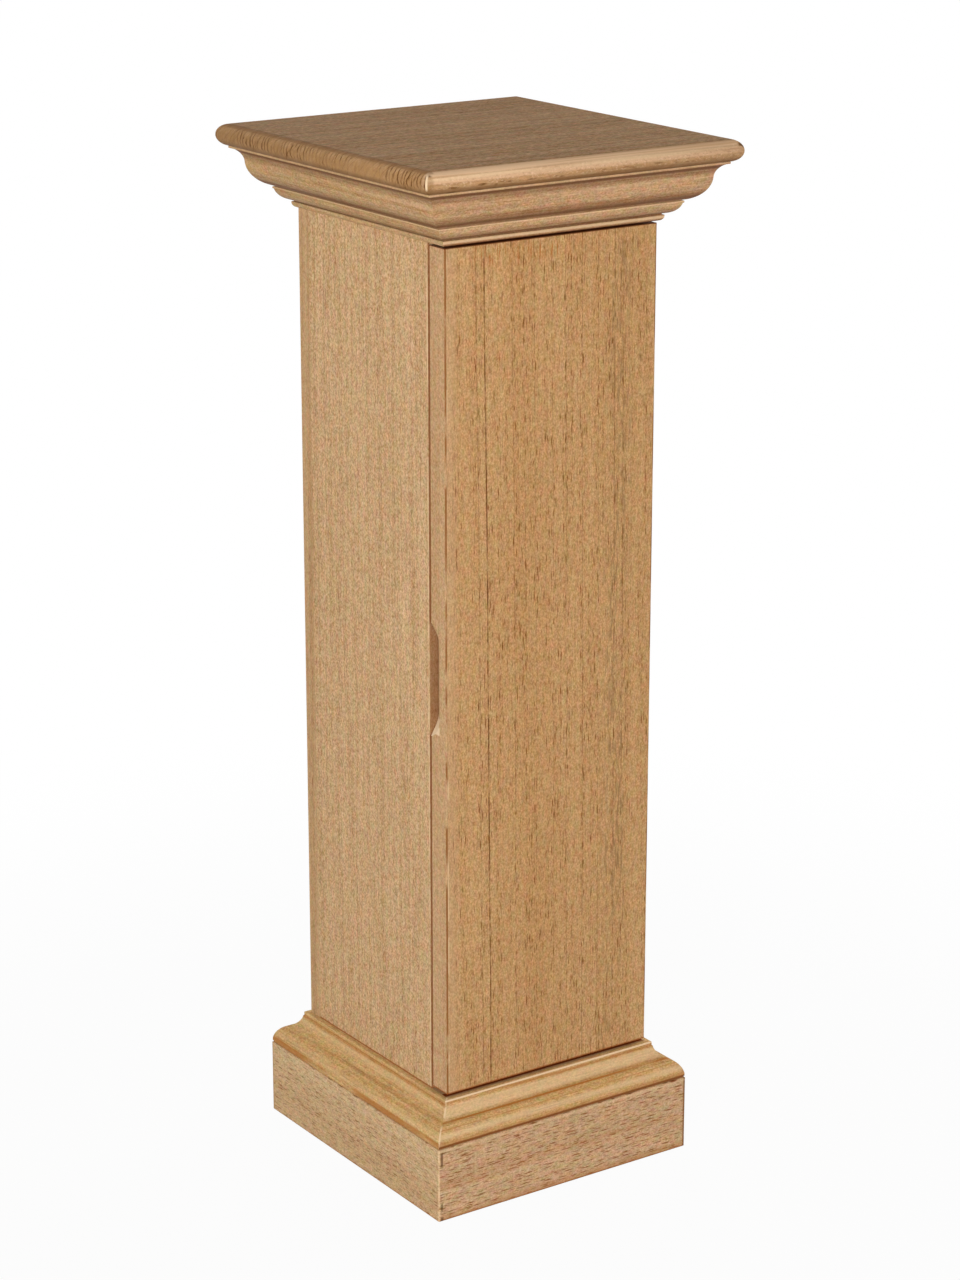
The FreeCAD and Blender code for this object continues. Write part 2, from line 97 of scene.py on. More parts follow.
def placeCamera(view):
    azimuth, elevation = math.radians(view["azimuth"]), math.radians(view["elevation"])
    level = math.cos(elevation)
    back = Vector((-math.sin(azimuth) * level, -math.cos(azimuth) * level, math.sin(elevation)))
    right = Vector((math.cos(azimuth), -math.sin(azimuth), 0))
    up = right.cross(-back)
    middle = Vector((0, 0, cadBox[1][2] / 2))
    data = bpy.data.cameras.new("photoCamera")
    data.lens, data.sensor_width = view["lens"], view["sensor"]
    data.clip_start, data.clip_end = view["clip"]
    camera = bpy.data.objects.new("photoCamera", data)
    scene.collection.objects.link(camera)
    camera.location = middle + right * view["aimRight"] + up * view["aimUp"] + back * view["distance"]
    camera.rotation_mode = "QUATERNION"
    camera.rotation_quaternion = (-back).to_track_quat("-Z", "Y")
    scene.camera = camera


placeCamera(cameraView)
print("camera placed")


# Node helpers
def addNode(tree, kind, inputs=None, **settings):
    node = tree.nodes.new(kind)
    for key, value in settings.items():
        setattr(node, key, value)
    for key, value in (inputs or {}).items():
        if isinstance(value, bpy.types.NodeSocket):
            tree.links.new(value, node.inputs[key])
        else:
            node.inputs[key].default_value = value
    return node


def firstOut(tree, kind, inputs=None, **settings):
    return addNode(tree, kind, inputs, **settings).outputs[0]


def calc(tree, operation, first, second=0.0):
    return firstOut(tree, "ShaderNodeMath", {0: first, 1: second}, operation=operation)


def vectorCalc(tree, operation, first, second):
    return firstOut(tree, "ShaderNodeVectorMath", {0: first, 1: second}, operation=operation)


def combine(tree, x=0.0, y=0.0, z=0.0):
    return firstOut(tree, "ShaderNodeCombineXYZ", {0: x, 1: y, 2: z})


def splitUp(tree, vector):
    return addNode(tree, "ShaderNodeSeparateXYZ", {0: vector}).outputs


def ease(tree, value, low, high, start=0.0, end=1.0):
    inputs = {"Value": value, "From Min": low, "From Max": high, "To Min": start, "To Max": end}
    return firstOut(tree, "ShaderNodeMapRange", inputs, interpolation_type="SMOOTHSTEP")


def mixTone(tree, factor, first, second, blend="MIX"):
    inputs = {0: factor, 6: first, 7: second}
    return addNode(tree, "ShaderNodeMix", inputs, data_type="RGBA", blend_type=blend).outputs[2]


def noise(tree, vector, sizes, detail=2.0, rough=0.5):
    spread = vectorCalc(tree, "MULTIPLY", vector, sizes)
    inputs = {"Vector": spread, "Scale": 1.0, "Detail": detail, "Roughness": rough}
    return addNode(tree, "ShaderNodeTexNoise", inputs).outputs


def tone(red, green, blue):
    parts = [c / 255 for c in (red, green, blue)]
    return tuple([c / 12.92 if c <= 0.04045 else ((c + 0.055) / 1.055) ** 2.4 for c in parts] + [1.0])


def emptyTree(owner):
    owner.use_nodes = True
    owner.node_tree.nodes.clear()
    return owner.node_tree


def newMaterial(name):
    material = bpy.data.materials.new(name)
    tree = emptyTree(material)
    output = tree.nodes.new("ShaderNodeOutputMaterial")
    shader = tree.nodes.new("ShaderNodeBsdfPrincipled")
    tree.links.new(shader.outputs["BSDF"], output.inputs["Surface"])
    return material, tree, shader


def dress(tree, shader, colour, gloss, height, bump):
    strength, depth = bump
    inputs = {"Strength": strength, "Distance": depth * mm, "Height": height}
    raised = firstOut(tree, "ShaderNodeBump", inputs)
    tree.links.new(colour, shader.inputs["Base Color"])
    tree.links.new(gloss, shader.inputs["Roughness"])
    tree.links.new(raised, shader.inputs["Normal"])


# White studio: pale floor, low soft lamps, white for the camera and for gloss
studio = {
    "ambient": 0.23,
    "white": (1, 1, 1, 1),
    "floorTone": tone(196, 196, 196),
    "floorWhite": 0.955,  # near the object; it fades to full white further out
    "floorFade": (0.35, 1.0),
    "floorReach": 16.0,
    "floorDrop": 0.4 * mm,
    "aim": (0, 0, 0.38),
    "lamps": {  # place, size, watts
        "keyLamp": ((-1.95, -2.15, 1.15), 1.1, 67),
        "frontLamp": ((0.5, -2.9, 1.0), 1.0, 9),
        "rightLamp": ((2.6, 0.3, 0.8), 1.5, 40),
        "backLamp": ((1.2, 2.6, 0.8), 1.5, 44),
        "leftRearLamp": ((-2.7, 1.3, 0.7), 1.2, 15),
    },
    "unseenInGloss": ("rightLamp", "backLamp", "leftRearLamp"),
}


def whiteForSight(tree):
    path = addNode(tree, "ShaderNodeLightPath")
    sight = calc(tree, "MAXIMUM", path.outputs["Is Camera Ray"], path.outputs["Is Glossy Ray"])
    return calc(tree, "MAXIMUM", sight, path.outputs["Is Transmission Ray"])


def buildStudio(look):
    world = bpy.data.worlds.new("whiteRoom")
    scene.world = world
    tree = emptyTree(world)
    soft = firstOut(tree, "ShaderNodeBackground", {"Color": look["white"], "Strength": look["ambient"]})
    full = firstOut(tree, "ShaderNodeBackground", {"Color": look["white"], "Strength": 1.0})
    both = firstOut(tree, "ShaderNodeMixShader", {0: whiteForSight(tree), 1: soft, 2: full})
    addNode(tree, "ShaderNodeOutputWorld", {"Surface": both})

    material = bpy.data.materials.new("paleFloor")
    tree = emptyTree(material)
    plain = firstOut(tree, "ShaderNodeBsdfDiffuse", {"Color": look["floorTone"]})
    glow = firstOut(tree, "ShaderNodeEmission", {"Color": look["white"], "Strength": 1.0})
    place = addNode(tree, "ShaderNodeTexCoord").outputs["Object"]
    away = addNode(tree, "ShaderNodeVectorMath", {0: place}, operation="LENGTH").outputs["Value"]
    fade = ease(tree, away, *look["floorFade"], look["floorWhite"], 1.0)
    share = calc(tree, "MULTIPLY", whiteForSight(tree), fade)
    both = firstOut(tree, "ShaderNodeMixShader", {0: share, 1: plain, 2: glow})
    addNode(tree, "ShaderNodeOutputMaterial", {"Surface": both})

    reach = look["floorReach"]
    corners = [(x * reach, y * reach, -look["floorDrop"]) for x, y in ((-1, -1), (1, -1), (1, 1), (-1, 1))]
    mesh = bpy.data.meshes.new("paleFloor")
    mesh.from_pydata(corners, [], [(0, 1, 2, 3)])
    mesh.materials.append(material)
    floor = bpy.data.objects.new("paleFloor", mesh)
    scene.collection.objects.link(floor)

    for name, (place, size, watts) in look["lamps"].items():
        data = bpy.data.lights.new(name, "AREA")
        data.shape, data.size, data.energy = "DISK", size, watts
        lamp = bpy.data.objects.new(name, data)
        scene.collection.objects.link(lamp)
        lamp.location = place
        lamp.rotation_mode = "QUATERNION"
        lamp.rotation_quaternion = (Vector(look["aim"]) - Vector(place)).to_track_quat("-Z", "Y")
        lamp.visible_camera = False
        lamp.visible_glossy = name not in look["unseenInGloss"]


buildStudio(studio)
print("studio lit")


# Beech: pale clear wood with long fibres, short dark rays and a fine speckle
noiseMiddle = (0.5, 0.5, 0.5)
noiseSpan = (0.25, 0.75)  # nearly all of a noise lies between these


def bandMask(tree, value, low, high, soft):
    # 1 between low and high, in millimetres
    rise = ease(tree, value, (low - soft) * mm, (low + soft) * mm)
    fall = ease(tree, value, (high - soft) * mm, (high + soft) * mm, 1.0, 0.0)
    return calc(tree, "MULTIPLY", rise, fall)


def beech(name, look):
    material, tree, shader = newMaterial(name)
    own = addNode(tree, "ShaderNodeTexCoord").outputs["Object"]
    x, y, z = splitUp(tree, own)
    lanes = {"x": x, "y": y, "z": z}
    lanes["mitreLeft"] = calc(tree, "SUBTRACT", x, y)  # constant along the front left mitre
    lanes["mitreRight"] = calc(tree, "ADD", x, y)  # constant along the front right mitre
    lanes["roundNose"] = calc(tree, "ADD", y, z)  # runs on over a board's front edge
    across, depth, along = look["axes"]
    sideways = calc(tree, "ADD", lanes[across], calc(tree, "MULTIPLY", lanes[along], look["lean"]))
    turned = combine(tree, sideways, lanes[depth], lanes[along])
    placed = vectorCalc(tree, "ADD", turned, look["shift"])

    # the fibres wander a little along the board
    sway = noise(tree, placed, look["swaySize"])["Color"]
    sway = vectorCalc(tree, "SUBTRACT", sway, noiseMiddle)
    sway = vectorCalc(tree, "MULTIPLY", sway, (look["sway"], look["sway"], 0.0))
    grain = vectorCalc(tree, "ADD", placed, sway)
    parts = splitUp(tree, grain)
    face = combine(tree, parts[0], parts[2])

    broad = noise(tree, grain, look["bandSize"])[0]
    lines = noise(tree, grain, look["lineSize"], detail=4.0, rough=0.65)[0]
    mottle = noise(tree, placed, look["mottleSize"], rough=0.6)[0]
    fibre = noise(tree, grain, look["fibreSize"])[0]
    speck = noise(tree, placed, look["speckSize"], detail=1.0, rough=0.6)["Color"]
    grit = noise(tree, placed, look["gritSize"], rough=0.75)[0]

    colour = mixTone(tree, ease(tree, lines, *look["lineStep"]), look["pale"], look["body"])
    bands = ease(tree, broad, *look["bandStep"], 0.0, look["bandShare"])
    colour = mixTone(tree, bands, colour, look["deep"])
    warmth = ease(tree, mottle, *look["warmStep"], 0.0, look["mottle"])
    colour = mixTone(tree, warmth, colour, look["warm"])
    greyness = ease(tree, mottle, *look["ashStep"], look["mottle"], 0.0)
    colour = mixTone(tree, greyness, colour, look["ash"])

    # long dark seams at known places across the board
    rows = ease(tree, lines, *look["rowStep"])
    dashes = noise(tree, grain, look["dashSize"], rough=0.6)[0]
    drift = calc(tree, "ADD", sideways, splitUp(tree, sway)[0])
    for place, width, share in look["seams"]:
        seam = bandMask(tree, drift, place - width / 2, place + width / 2, look["seamSoft"])
        row = bandMask(tree, drift, place - look["seamRow"], place + look["seamRow"], 1.0)
        rows = calc(tree, "MAXIMUM", rows, row)
        seam = calc(tree, "MULTIPLY", seam, ease(tree, dashes, *look["dashStep"], look["seamFaint"], 1.0))
        colour = mixTone(tree, calc(tree, "MULTIPLY", seam, share), colour, look["seamTone"])

    # rays: thin short dashes along the grain that run deep into the board, gathered in rows
    looseRows = ease(tree, rows, 0.0, 1.0, look["rayLoose"], 1.0)
    for wide, long, share, strength in look["rays"]:
        inputs = {"Vector": vectorCalc(tree, "MULTIPLY", face, (wide, long, 1)), "Scale": 1.0}
        cells = addNode(tree, "ShaderNodeTexVoronoi", inputs, voronoi_dimensions="2D").outputs
        pick = addNode(tree, "ShaderNodeSeparateColor", {0: cells["Color"]}).outputs
        spindle = ease(tree, cells["Distance"], *look["rayEdge"], 1.0, 0.0)
        first = 1.0 - share
        chosen = ease(tree, pick[0], first, first + look["rayFade"], 0.0, strength * look["rayDepth"])
        dark = calc(tree, "MULTIPLY", calc(tree, "MULTIPLY", spindle, chosen), looseRows)
        ray = mixTone(tree, ease(tree, pick[1], *look["rayGreyStep"]), look["ray"], look["rayGrey"])
        colour = mixTone(tree, dark, colour, ray)

    # a coarse speckle of colour under a fine grit of light and dark
    shade = vectorCalc(tree, "SUBTRACT", speck, noiseMiddle)
    shade = vectorCalc(tree, "MULTIPLY", shade, (look["speck"],) * 3)
    sparkle = ease(tree, grit, *noiseSpan, -look["grit"], look["grit"])
    if look["calmBelow"]:
        calmEdge = (look["calmBelow"] - look["calmFade"]) * mm
        calm = ease(tree, z, calmEdge, look["calmBelow"] * mm, look["calmShare"], 1.0)
        shade = vectorCalc(tree, "MULTIPLY", shade, combine(tree, calm, calm, calm))
        sparkle = calc(tree, "MULTIPLY", sparkle, calm)
    light = ease(tree, fibre, *noiseSpan, -look["fibre"], look["fibre"])
    light = calc(tree, "ADD", light, sparkle)
    light = vectorCalc(tree, "MULTIPLY", combine(tree, light, light, light), look["lightTint"])
    light = vectorCalc(tree, "ADD", light, (1.0, 1.0, 1.0))
    colour = mixTone(tree, 1.0, colour, vectorCalc(tree, "ADD", shade, light), "MULTIPLY")

    # placed marks: painted highlights on arrises, fillets and mitres, painted shade in quirks, gaps and
    # under overhangs, glue lines, scorched corners
    for spot in look["marks"]:
        mask = None
        for lane, limits in spot["where"].items():
            band = bandMask(tree, lanes[lane], *limits)
            mask = band if mask is None else calc(tree, "MULTIPLY", mask, band)
        for sizes, low, high in spot["ragged"]:
            tatter = noise(tree, own, sizes, rough=0.6)[0]
            mask = calc(tree, "MULTIPLY", mask, ease(tree, tatter, low, high))
        if spot["pitch"]:  # ticks along y, unevenly spaced
            waver = noise(tree, own, look["tickSize"], detail=3.0, rough=0.6)[0]
            waver = calc(tree, "MULTIPLY", waver, look["tickWaver"])
            turns = calc(tree, "MULTIPLY", y, math.tau / (spot["pitch"] * mm))
            wave = calc(tree, "SINE", calc(tree, "ADD", turns, waver))
            mask = calc(tree, "MULTIPLY", mask, ease(tree, wave, *look["tickStep"]))
        colour = mixTone(tree, calc(tree, "MULTIPLY", mask, spot["share"]), colour, spot["tone"])

    height = calc(tree, "ADD", calc(tree, "MULTIPLY", fibre, 0.5), calc(tree, "MULTIPLY", grit, 0.5))
    gloss = ease(tree, lines, *look["glossStep"], *look["gloss"])
    dress(tree, shader, colour, gloss, height, look["bump"])
    shader.inputs["Specular IOR Level"].default_value = look["sheen"]
    return material


plainBeech = {
    "axes": "xyz",  # across the face, into the board, along the grain
    "shift": (0.0, 0.0, 0.0),
    "sway": 0.004,
    "swaySize": (8, 8, 3.0),
    "lean": 0.0,
    "pale": tone(203, 168, 126),
    "body": tone(194, 157, 115),
    "deep": tone(180, 141, 98),
    "warm": tone(202, 152, 104),
    "ash": tone(180, 152, 112),
    "bandSize": (22, 12, 0.8),
    "bandStep": (0.44, 0.74),
    "bandShare": 0.35,
    "lineSize": (190, 50, 2.2),
    "lineStep": (0.36, 0.66),
    "rowStep": (0.46, 0.62),
    "mottleSize": (200, 90, 90),
    "mottle": 0.3,
    "warmStep": (0.50, 0.72),
    "ashStep": (0.28, 0.48),
    "seams": [],  # place, width, share
    "seamTone": tone(134, 88, 46),
    "seamSoft": 0.3,
    "seamFaint": 0.25,
    "seamRow": 2,  # rays gather this near to a seam
    "dashSize": (70, 70, 75),
    "dashStep": (0.36, 0.62),
    "rays": [(420, 52, 0.5, 1.0), (480, 74, 0.55, 0.85), (620, 115, 0.65, 0.6)],  # cells, share, strength
    "ray": tone(136, 90, 48),
    "rayGrey": tone(138, 108, 72),
    "rayGreyStep": (0.45, 0.8),
    "rayEdge": (0.06, 0.25),
    "rayFade": 0.3,
    "rayLoose": 0.4,
    "rayDepth": 0.8,
    "speckSize": (280, 280, 150),
    "speck": 0.32,
    "gritSize": (880, 880, 560),
    "grit": 0.28,
    "fibreSize": (1100, 600, 75),
    "fibre": 0.08,
    "lightTint": (0.8, 1.0, 1.45),  # pale spots are greyer, dark ones redder
    "calmBelow": None,
    "calmFade": 0.5,
    "calmShare": 0.3,
    "marks": [],
    "tickSize": (60, 110, 60),
    "tickWaver": 16.0,
    "tickStep": (-0.1, 0.9),
    "bump": (0.2, 0.3),  # strength, depth in millimetres
    "gloss": (0.5, 0.62),
    "glossStep": (0.3, 0.7),
    "sheen": 0.06,
}

# Tones of the placed marks
# scorch marks on the plinth's near corner, and painted shade under the top board's nose
scorchAndShade = tone(84, 54, 30)
gapShade = tone(98, 42, 8)
sideGapShade = tone(112, 52, 4)
footShade = tone(98, 54, 28)
# a darker line along the plinth boards' bottom edges and the side boards' back ends
darkEdgeLine = tone(156, 96, 46)
cornerLine = tone(128, 76, 28)
orangeLine = tone(168, 104, 44)
# painted shade along the gap under the door
underDoorShade = tone(146, 68, 8)
footLine = tone(148, 86, 38)
darkArris = tone(128, 80, 42)
redStripe = tone(176, 116, 66)
# painted highlight on rounded arrises, fillets, beads, the top's nose and the cap's cove and ovolo
paintedHighlight = tone(232, 200, 158)
# painted glint on the top board's front left corner and the cap's lip, and painted light on the lit lower
# end of the finger notch
paintedGlint = tone(238, 208, 170)


# A mark's limits are low, high and softness; a ragged one has the sizes and the steps of its noise
def mark(toneOf, share, ragged=(), pitch=None, **where):
    return {"where": where, "tone": toneOf, "share": share, "ragged": ragged, "pitch": pitch}


def past(edge, low, high, soft):
    return (edge + low, edge + high, soft)


frontNose = {"y": (-far, -topReachY + 5.6, 1.2)}
frontEdge = {"y": past(sideFront, -6, 0.45, 0.15)}  # of the left panel, behind the door
frontArris = {"y": past(sideFront, -6, 0.6, 0.15), "x": past(-halfWidth, -1, 1.1, 0.25)}
notchFace = {"y": past(-halfDepth, 7.5, 23.5, 0.2), "z": past(notchFoot, -1, 15, 0.5)}
panelFoot = mark(footLine, 0.85, z=past(capTop, -2, 1.1, 0.4))
# painted shade in the gaps above and below the door
doorGaps = [
    mark(gapShade, 0.9, z=past(doorHigh.z, -0.5, 2, 0.3)),
    mark(underDoorShade, 0.75, z=past(doorLow.z, -2, 0.9, 0.5)),
]
endGrain = []
for edge in ((-far, -topReachX + 5.2, 1.5), (topReachX - 5.2, far, 1.5)):
    endGrain += [
        mark(tone(172, 132, 82), 0.5, [((300, 420, 300), 0.46, 0.62)], x=edge,
             z=past(topFoot, 2, 14.5, 1.2)),
        mark(tone(92, 54, 26), 0.85, [((17, 12, 17), 0.38, 0.54), ((90, 160, 90), 0.3, 0.54)], pitch=4.2,
             x=edge, z=past(topFoot, 4.5, 14.0, 1.2)),
    ]

beechLooks = {
    "leftPanelBeech": dict(
        axes="yxz", shift=(0.31, 0.12, 0.45), rayDepth=0.75, pale=tone(202, 166, 124),
        body=tone(190, 153, 111), lineSize=(300, 60, 5.0), speck=0.34, grit=0.4,
        seams=[(73.5, 0.8, 0.25), (58.4, 0.8, 0.25), (46, 0.8, 0.25), (-9.2, 0.8, 0.3), (-28.4, 0.8, 0.25),
               (-51.8, 0.8, 0.2)],
        marks=[
            # painted highlight on the front arris; painted shade on the front edge seen through the finger
            # notch and in the gap beside the door
            mark(paintedHighlight, 0.8, [((20, 20, 26), 0.36, 0.6)], y=past(sideFront, 0.8, 1.9, 0.25)),
            mark(tone(130, 85, 52), 0.66, **frontEdge, z=(notchFoot - 6, notchHead + 6, 12)),
            mark(sideGapShade, 0.72, **frontArris, z=(0, notchFoot + 1, 1)),
            mark(sideGapShade, 0.72, **frontArris, z=(notchHead - 1, far, 1)),
            panelFoot,
        ]),
    "rightPanelBeech": dict(
        axes="yxz", shift=(1.77, 0.62, 2.11), rayDepth=0.5,
        # painted highlight on the front arris
        marks=[mark(paintedHighlight, 0.6, y=past(sideFront, 0.9, 1.9, 0.2)), panelFoot]),
    "backPanelBeech": dict(
        axes=("mitreRight", "y", "z"), shift=(3.1, 1.4, 0.2), pale=tone(190, 154, 112),
        body=tone(178, 140, 99), deep=tone(166, 126, 84)),
    "doorBeech": dict(
        axes="xyz", shift=(0.9, 0.4, 1.3), pale=tone(194, 152, 104), body=tone(187, 143, 95),
        deep=tone(178, 130, 80), warm=tone(200, 149, 98), ash=tone(176, 142, 100), ray=tone(120, 70, 24),
        rayGrey=tone(126, 86, 42), rayDepth=1.0, lean=0.0095, seamTone=tone(104, 62, 28),
        lineSize=(190, 50, 6.0), grit=0.31,
        rays=[(400, 46, 0.5, 1.0), (480, 70, 0.55, 0.9), (660, 112, 0.7, 0.6)],
        seams=[(-56.8, 1.0, 0.4), (-50.0, 1.0, 1.0), (-27, 0.8, 0.35), (-17.7, 0.7, 0.2), (-9, 0.8, 0.25),
               (6, 0.7, 0.25), (17.5, 0.8, 0.3), (31.5, 0.8, 0.4), (45.5, 0.8, 0.3), (59.5, 1.0, 0.4),
               (67, 0.9, 0.4)],
        marks=[
            mark(tone(134, 104, 68), 0.6, [((480, 480, 70), 0.45, 0.64), ((60, 60, 10), 0.28, 0.58)],
                 x=(48, 68, 6)),
            mark(tone(204, 168, 132), 0.25, x=past(doorLow.x, -2.2, 7.8, 4)),
            mark(cornerLine, 0.6, [((30, 30, 34), 0.4, 0.58)], x=past(doorLow.x, -0.6, -0.1, 0.2)),
            mark(tone(172, 98, 36), 0.75, [((900, 900, 60), 0.53, 0.66)], x=(-70, 20, 20),
                 z=past(doorHigh.z, -16, 0, 7)),
            *doorGaps,
            # painted highlight on the left arris, painted light on the lower end of the finger notch
            mark(paintedHighlight, 0.6, [((30, 30, 30), 0.58, 0.66)], x=past(doorLow.x, 0.1, 1.0, 0.2)),
            mark(paintedGlint, 0.9, x=past(doorLow.x, -2.2, 7.8, 0.3), **notchFace),
        ]),
    "edgeBandBeech": dict(
        axes=("mitreRight", "x", "z"), shift=(2.4, 0.7, 0.8), rayDepth=0.3, pale=tone(193, 155, 114),
        body=tone(185, 146, 105),
        marks=[
            mark(sideGapShade, 0.85, y=past(doorHigh.y, -1.0, 5, 0.2)),
            mark(cornerLine, 0.85, [((30, 30, 34), 0.38, 0.58)], y=past(-halfDepth, -1.5, 0.6, 0.25)),
            *doorGaps,
            # painted light on the lit lower end of the finger notch and on the band's edge beside it
            mark(paintedGlint, 0.9, x=past(doorLow.x, -1.1, 7.8, 0.05), **notchFace),
            mark(paintedGlint, 0.75, x=past(doorLow.x, -2.2, -1.0, 0.05), y=past(-halfDepth, 8.1, 14.5, 0.5),
                 z=past(notchFoot, 3.2, 9, 0.7)),
        ]),
    "topBeech": dict(
        axes=("roundNose", "z", "x"), shift=(0.2, 1.9, 0.6), pale=tone(196, 155, 112),
        body=tone(181, 140, 98), deep=tone(168, 126, 84), ray=tone(112, 72, 36), rayGrey=tone(116, 84, 54),
        rayDepth=0.9, lineSize=(230, 60, 3.2), sheen=0.02, speck=0.4, gritSize=(880, 880, 420), grit=0.36,
        mottle=0.35, calmBelow=topFace - 0.02,
        marks=[
            # painted highlight along the front of the nose, where it faces the lamps
            mark(tone(228, 186, 150), 0.55, z=past(topFoot, 7.4, 18, 0.7), **frontNose),
            mark(tone(246, 214, 174), 0.34, z=past(topFoot, 11.8, 18, 1.2), **frontNose),
            mark(tone(192, 144, 98), 0.5, [((6, 420, 420), 0.48, 0.62)], z=past(topFoot, 11, 18, 1.2),
                 **frontNose),
            mark(tone(150, 106, 62), 0.45, [((4, 260, 260), 0.46, 0.6)], y=(-far, -topReachY + 5, 1.0),
                 z=past(topFoot, -1, 12.6, 1.0)),
            mark(tone(156, 108, 70), 0.34, [((380, 640, 640), 0.5, 0.66)], z=past(topFoot, 2, 11.8, 1.4),
                 **frontNose),
            mark(tone(246, 214, 184), 0.26, [((430, 700, 700), 0.54, 0.68)], z=past(topFoot, 4, 12.6, 1.4),
                 **frontNose),
            # painted highlight, streaked along the nose
            mark(paintedHighlight, 0.6, [((5, 300, 300), 0.4, 0.6)], y=(-far, -topReachY + 4, 1.5),
                 z=past(topFoot, 9.8, 12.4, 1.2)),
            mark(tone(136, 98, 58), 0.5, x=(-far, -topReachX + 6, 1.5), z=past(topFoot, 1, 11.2, 2.4)),
            mark(darkArris, 0.4, x=(-far, -topReachX + 8.4, 0.8), z=past(topFoot, 14.2, 16, 0.5)),
            *endGrain,
            # painted shade under the nose
            mark(scorchAndShade, 0.45, z=past(topFoot, -1, 3.6, 2.2)),
            # painted glint at the front left mitre
            mark(paintedGlint, 0.95, mitreLeft=past(mitrePlace, -1.0, 1.0, 0.5), x=(-far, -topReachX + 7, 0.8),
                 z=past(topFoot, 4.5, 14, 1.5)),
        ]),
    "plinthBeechX": dict(
        axes="zyx", shift=(2.5, 0.8, 1.2), rayDepth=0.95, rayLoose=0.85, pale=tone(211, 175, 136),
        body=tone(201, 162, 124), ray=tone(132, 74, 32), rayGrey=tone(140, 94, 54), speck=0.4,
        rays=[(390, 44, 0.75, 1.0), (470, 64, 0.8, 0.95), (620, 95, 0.8, 0.8)],
        marks=[
            mark(redStripe, 0.35, [((9, 90, 200), 0.36, 0.6)], z=(24, 30, 2.5)),
            mark(redStripe, 0.4, [((9, 90, 200), 0.3, 0.55)], z=(-1, 4.5, 1.5)),
            mark(darkEdgeLine, 0.7, z=(-1, 1.4, 0.5)),
            # painted highlight on the near corner's arris
            mark(paintedHighlight, 0.6, [((20, 20, 60), 0.36, 0.52)], x=past(-plinthReachX, -1, 1.2, 0.3)),
            mark(scorchAndShade, 0.7, x=past(-plinthReachX, 1.8, 3.8, 0.4), z=(43, 54, 1.5)),
            mark(scorchAndShade, 0.6, x=past(-plinthReachX, 1.8, 3.6, 0.4), z=(8, 14, 1.5)),
            mark(scorchAndShade, 0.7, x=past(-plinthReachX, 1.6, 4.0, 0.4), z=(0, 3.5, 1.0)),
            # painted shade on the right end's arris
            mark(darkArris, 0.8, x=past(plinthReachX, -2.4, 1, 0.6)),
            # painted highlight on the top edge under the cap
            mark(paintedHighlight, 0.35, z=past(capFoot, -2.2, -0.8, 0.5)),
        ]),
    "plinthBeechY": dict(
        axes="zxy", shift=(0.4, 1.3, 1.9), rayDepth=0.95, rayLoose=0.65, pale=tone(204, 173, 131),
        body=tone(195, 161, 120), rays=[(400, 54, 0.7, 1.0), (460, 80, 0.75, 0.9), (600, 120, 0.8, 0.6)],
        marks=[
            mark(darkEdgeLine, 0.5, z=(-1, 1.2, 0.5)),
            # painted highlight on the front end's arris
            mark(paintedHighlight, 0.5, [((20, 20, 60), 0.36, 0.52)], y=past(-plinthReachY, -1, 1.2, 0.3)),
            mark(darkEdgeLine, 0.6, y=past(plinthReachY, -2, 1, 0.5)),
        ]),
    "innerBeech": dict(axes=("roundNose", "z", "x"), shift=(1.1, 0.9, 2.7)),
    "dowelBeech": dict(axes="yzx", shift=(2.1, 1.2, 0.3)),
    "upperRailBeech": dict(
        axes="zyx", shift=(1.6, 0.2, 0.9), sheen=0.0,
        marks=[mark(gapShade, 0.95, z=past(bedFoot, -2, 1, 0.3))]),
    "lowerRailBeech": dict(
        axes="zyx", shift=(0.6, 1.2, 1.9), sheen=0.0,
        marks=[
            # painted shade on the rail's top under the door, darkest where the closed door hides it
            mark(tone(170, 124, 78), 0.6, z=past(capTop, -2, 1, 0.5)),
            mark(tone(118, 46, 4), 0.93, y=past(-halfDepth, 1.8, 7, 0.8), z=past(capTop, -2, 1, 0.5)),
        ]),
}

# The mouldings' beech: X runs along the front and back, Y along the sides
stripes = dict(
    sway=0.002, bandShare=0.7, bandSize=(110, 60, 1.6), lineSize=(420, 200, 3.0), rayDepth=0.65,
    rays=[(560, 8, 0.5, 1.0), (460, 22, 0.4, 0.7)], rayLoose=0.6, fibre=0.12, ray=tone(146, 94, 46),
    rayGrey=tone(152, 116, 70), speck=0.45, grit=0.3)
runGrain = {
    "X": dict(axes="zyx", shift=(0.5, 0.3, 2.2)),
    "Y": dict(axes="zxy", shift=(1.5, 2.3, 0.7)),
}
runTones = {
    "X": dict(pale=tone(200, 162, 121), body=tone(184, 145, 106), deep=tone(164, 118, 78)),
    "Y": dict(pale=tone(192, 159, 117), body=tone(179, 143, 99), deep=tone(160, 119, 73)),
}
capTones = {
    "X": dict(pale=tone(205, 166, 113), body=tone(190, 149, 95), deep=tone(170, 121, 66)),
    "Y": dict(pale=tone(206, 168, 114), body=tone(192, 152, 97), deep=tone(172, 127, 72)),
}
crownMarks = [
    # painted highlights on the fillet and where the cove meets the round; painted shade under the fillet
    # and towards the crown's foot
    mark(paintedHighlight, 0.3, z=past(crownFoot, 26.8, 28.5, 0.3)),
    mark(tone(214, 174, 138), 0.35, [((4, 4, 160), 0.36, 0.6)], z=past(crownFoot, 15.4, 18.4, 1.2)),
    mark(footShade, 0.4, z=past(crownFoot, 19.5, 26, 2.2)),
    mark(footShade, 0.7, z=past(crownFoot, 23.4, 25.8, 0.7)),
    mark(footShade, 0.3, z=past(crownFoot, 2, 9, 3.0)),
    mark(footShade, 0.75, z=past(crownFoot, 1.4, 5.0, 2.0)),
]
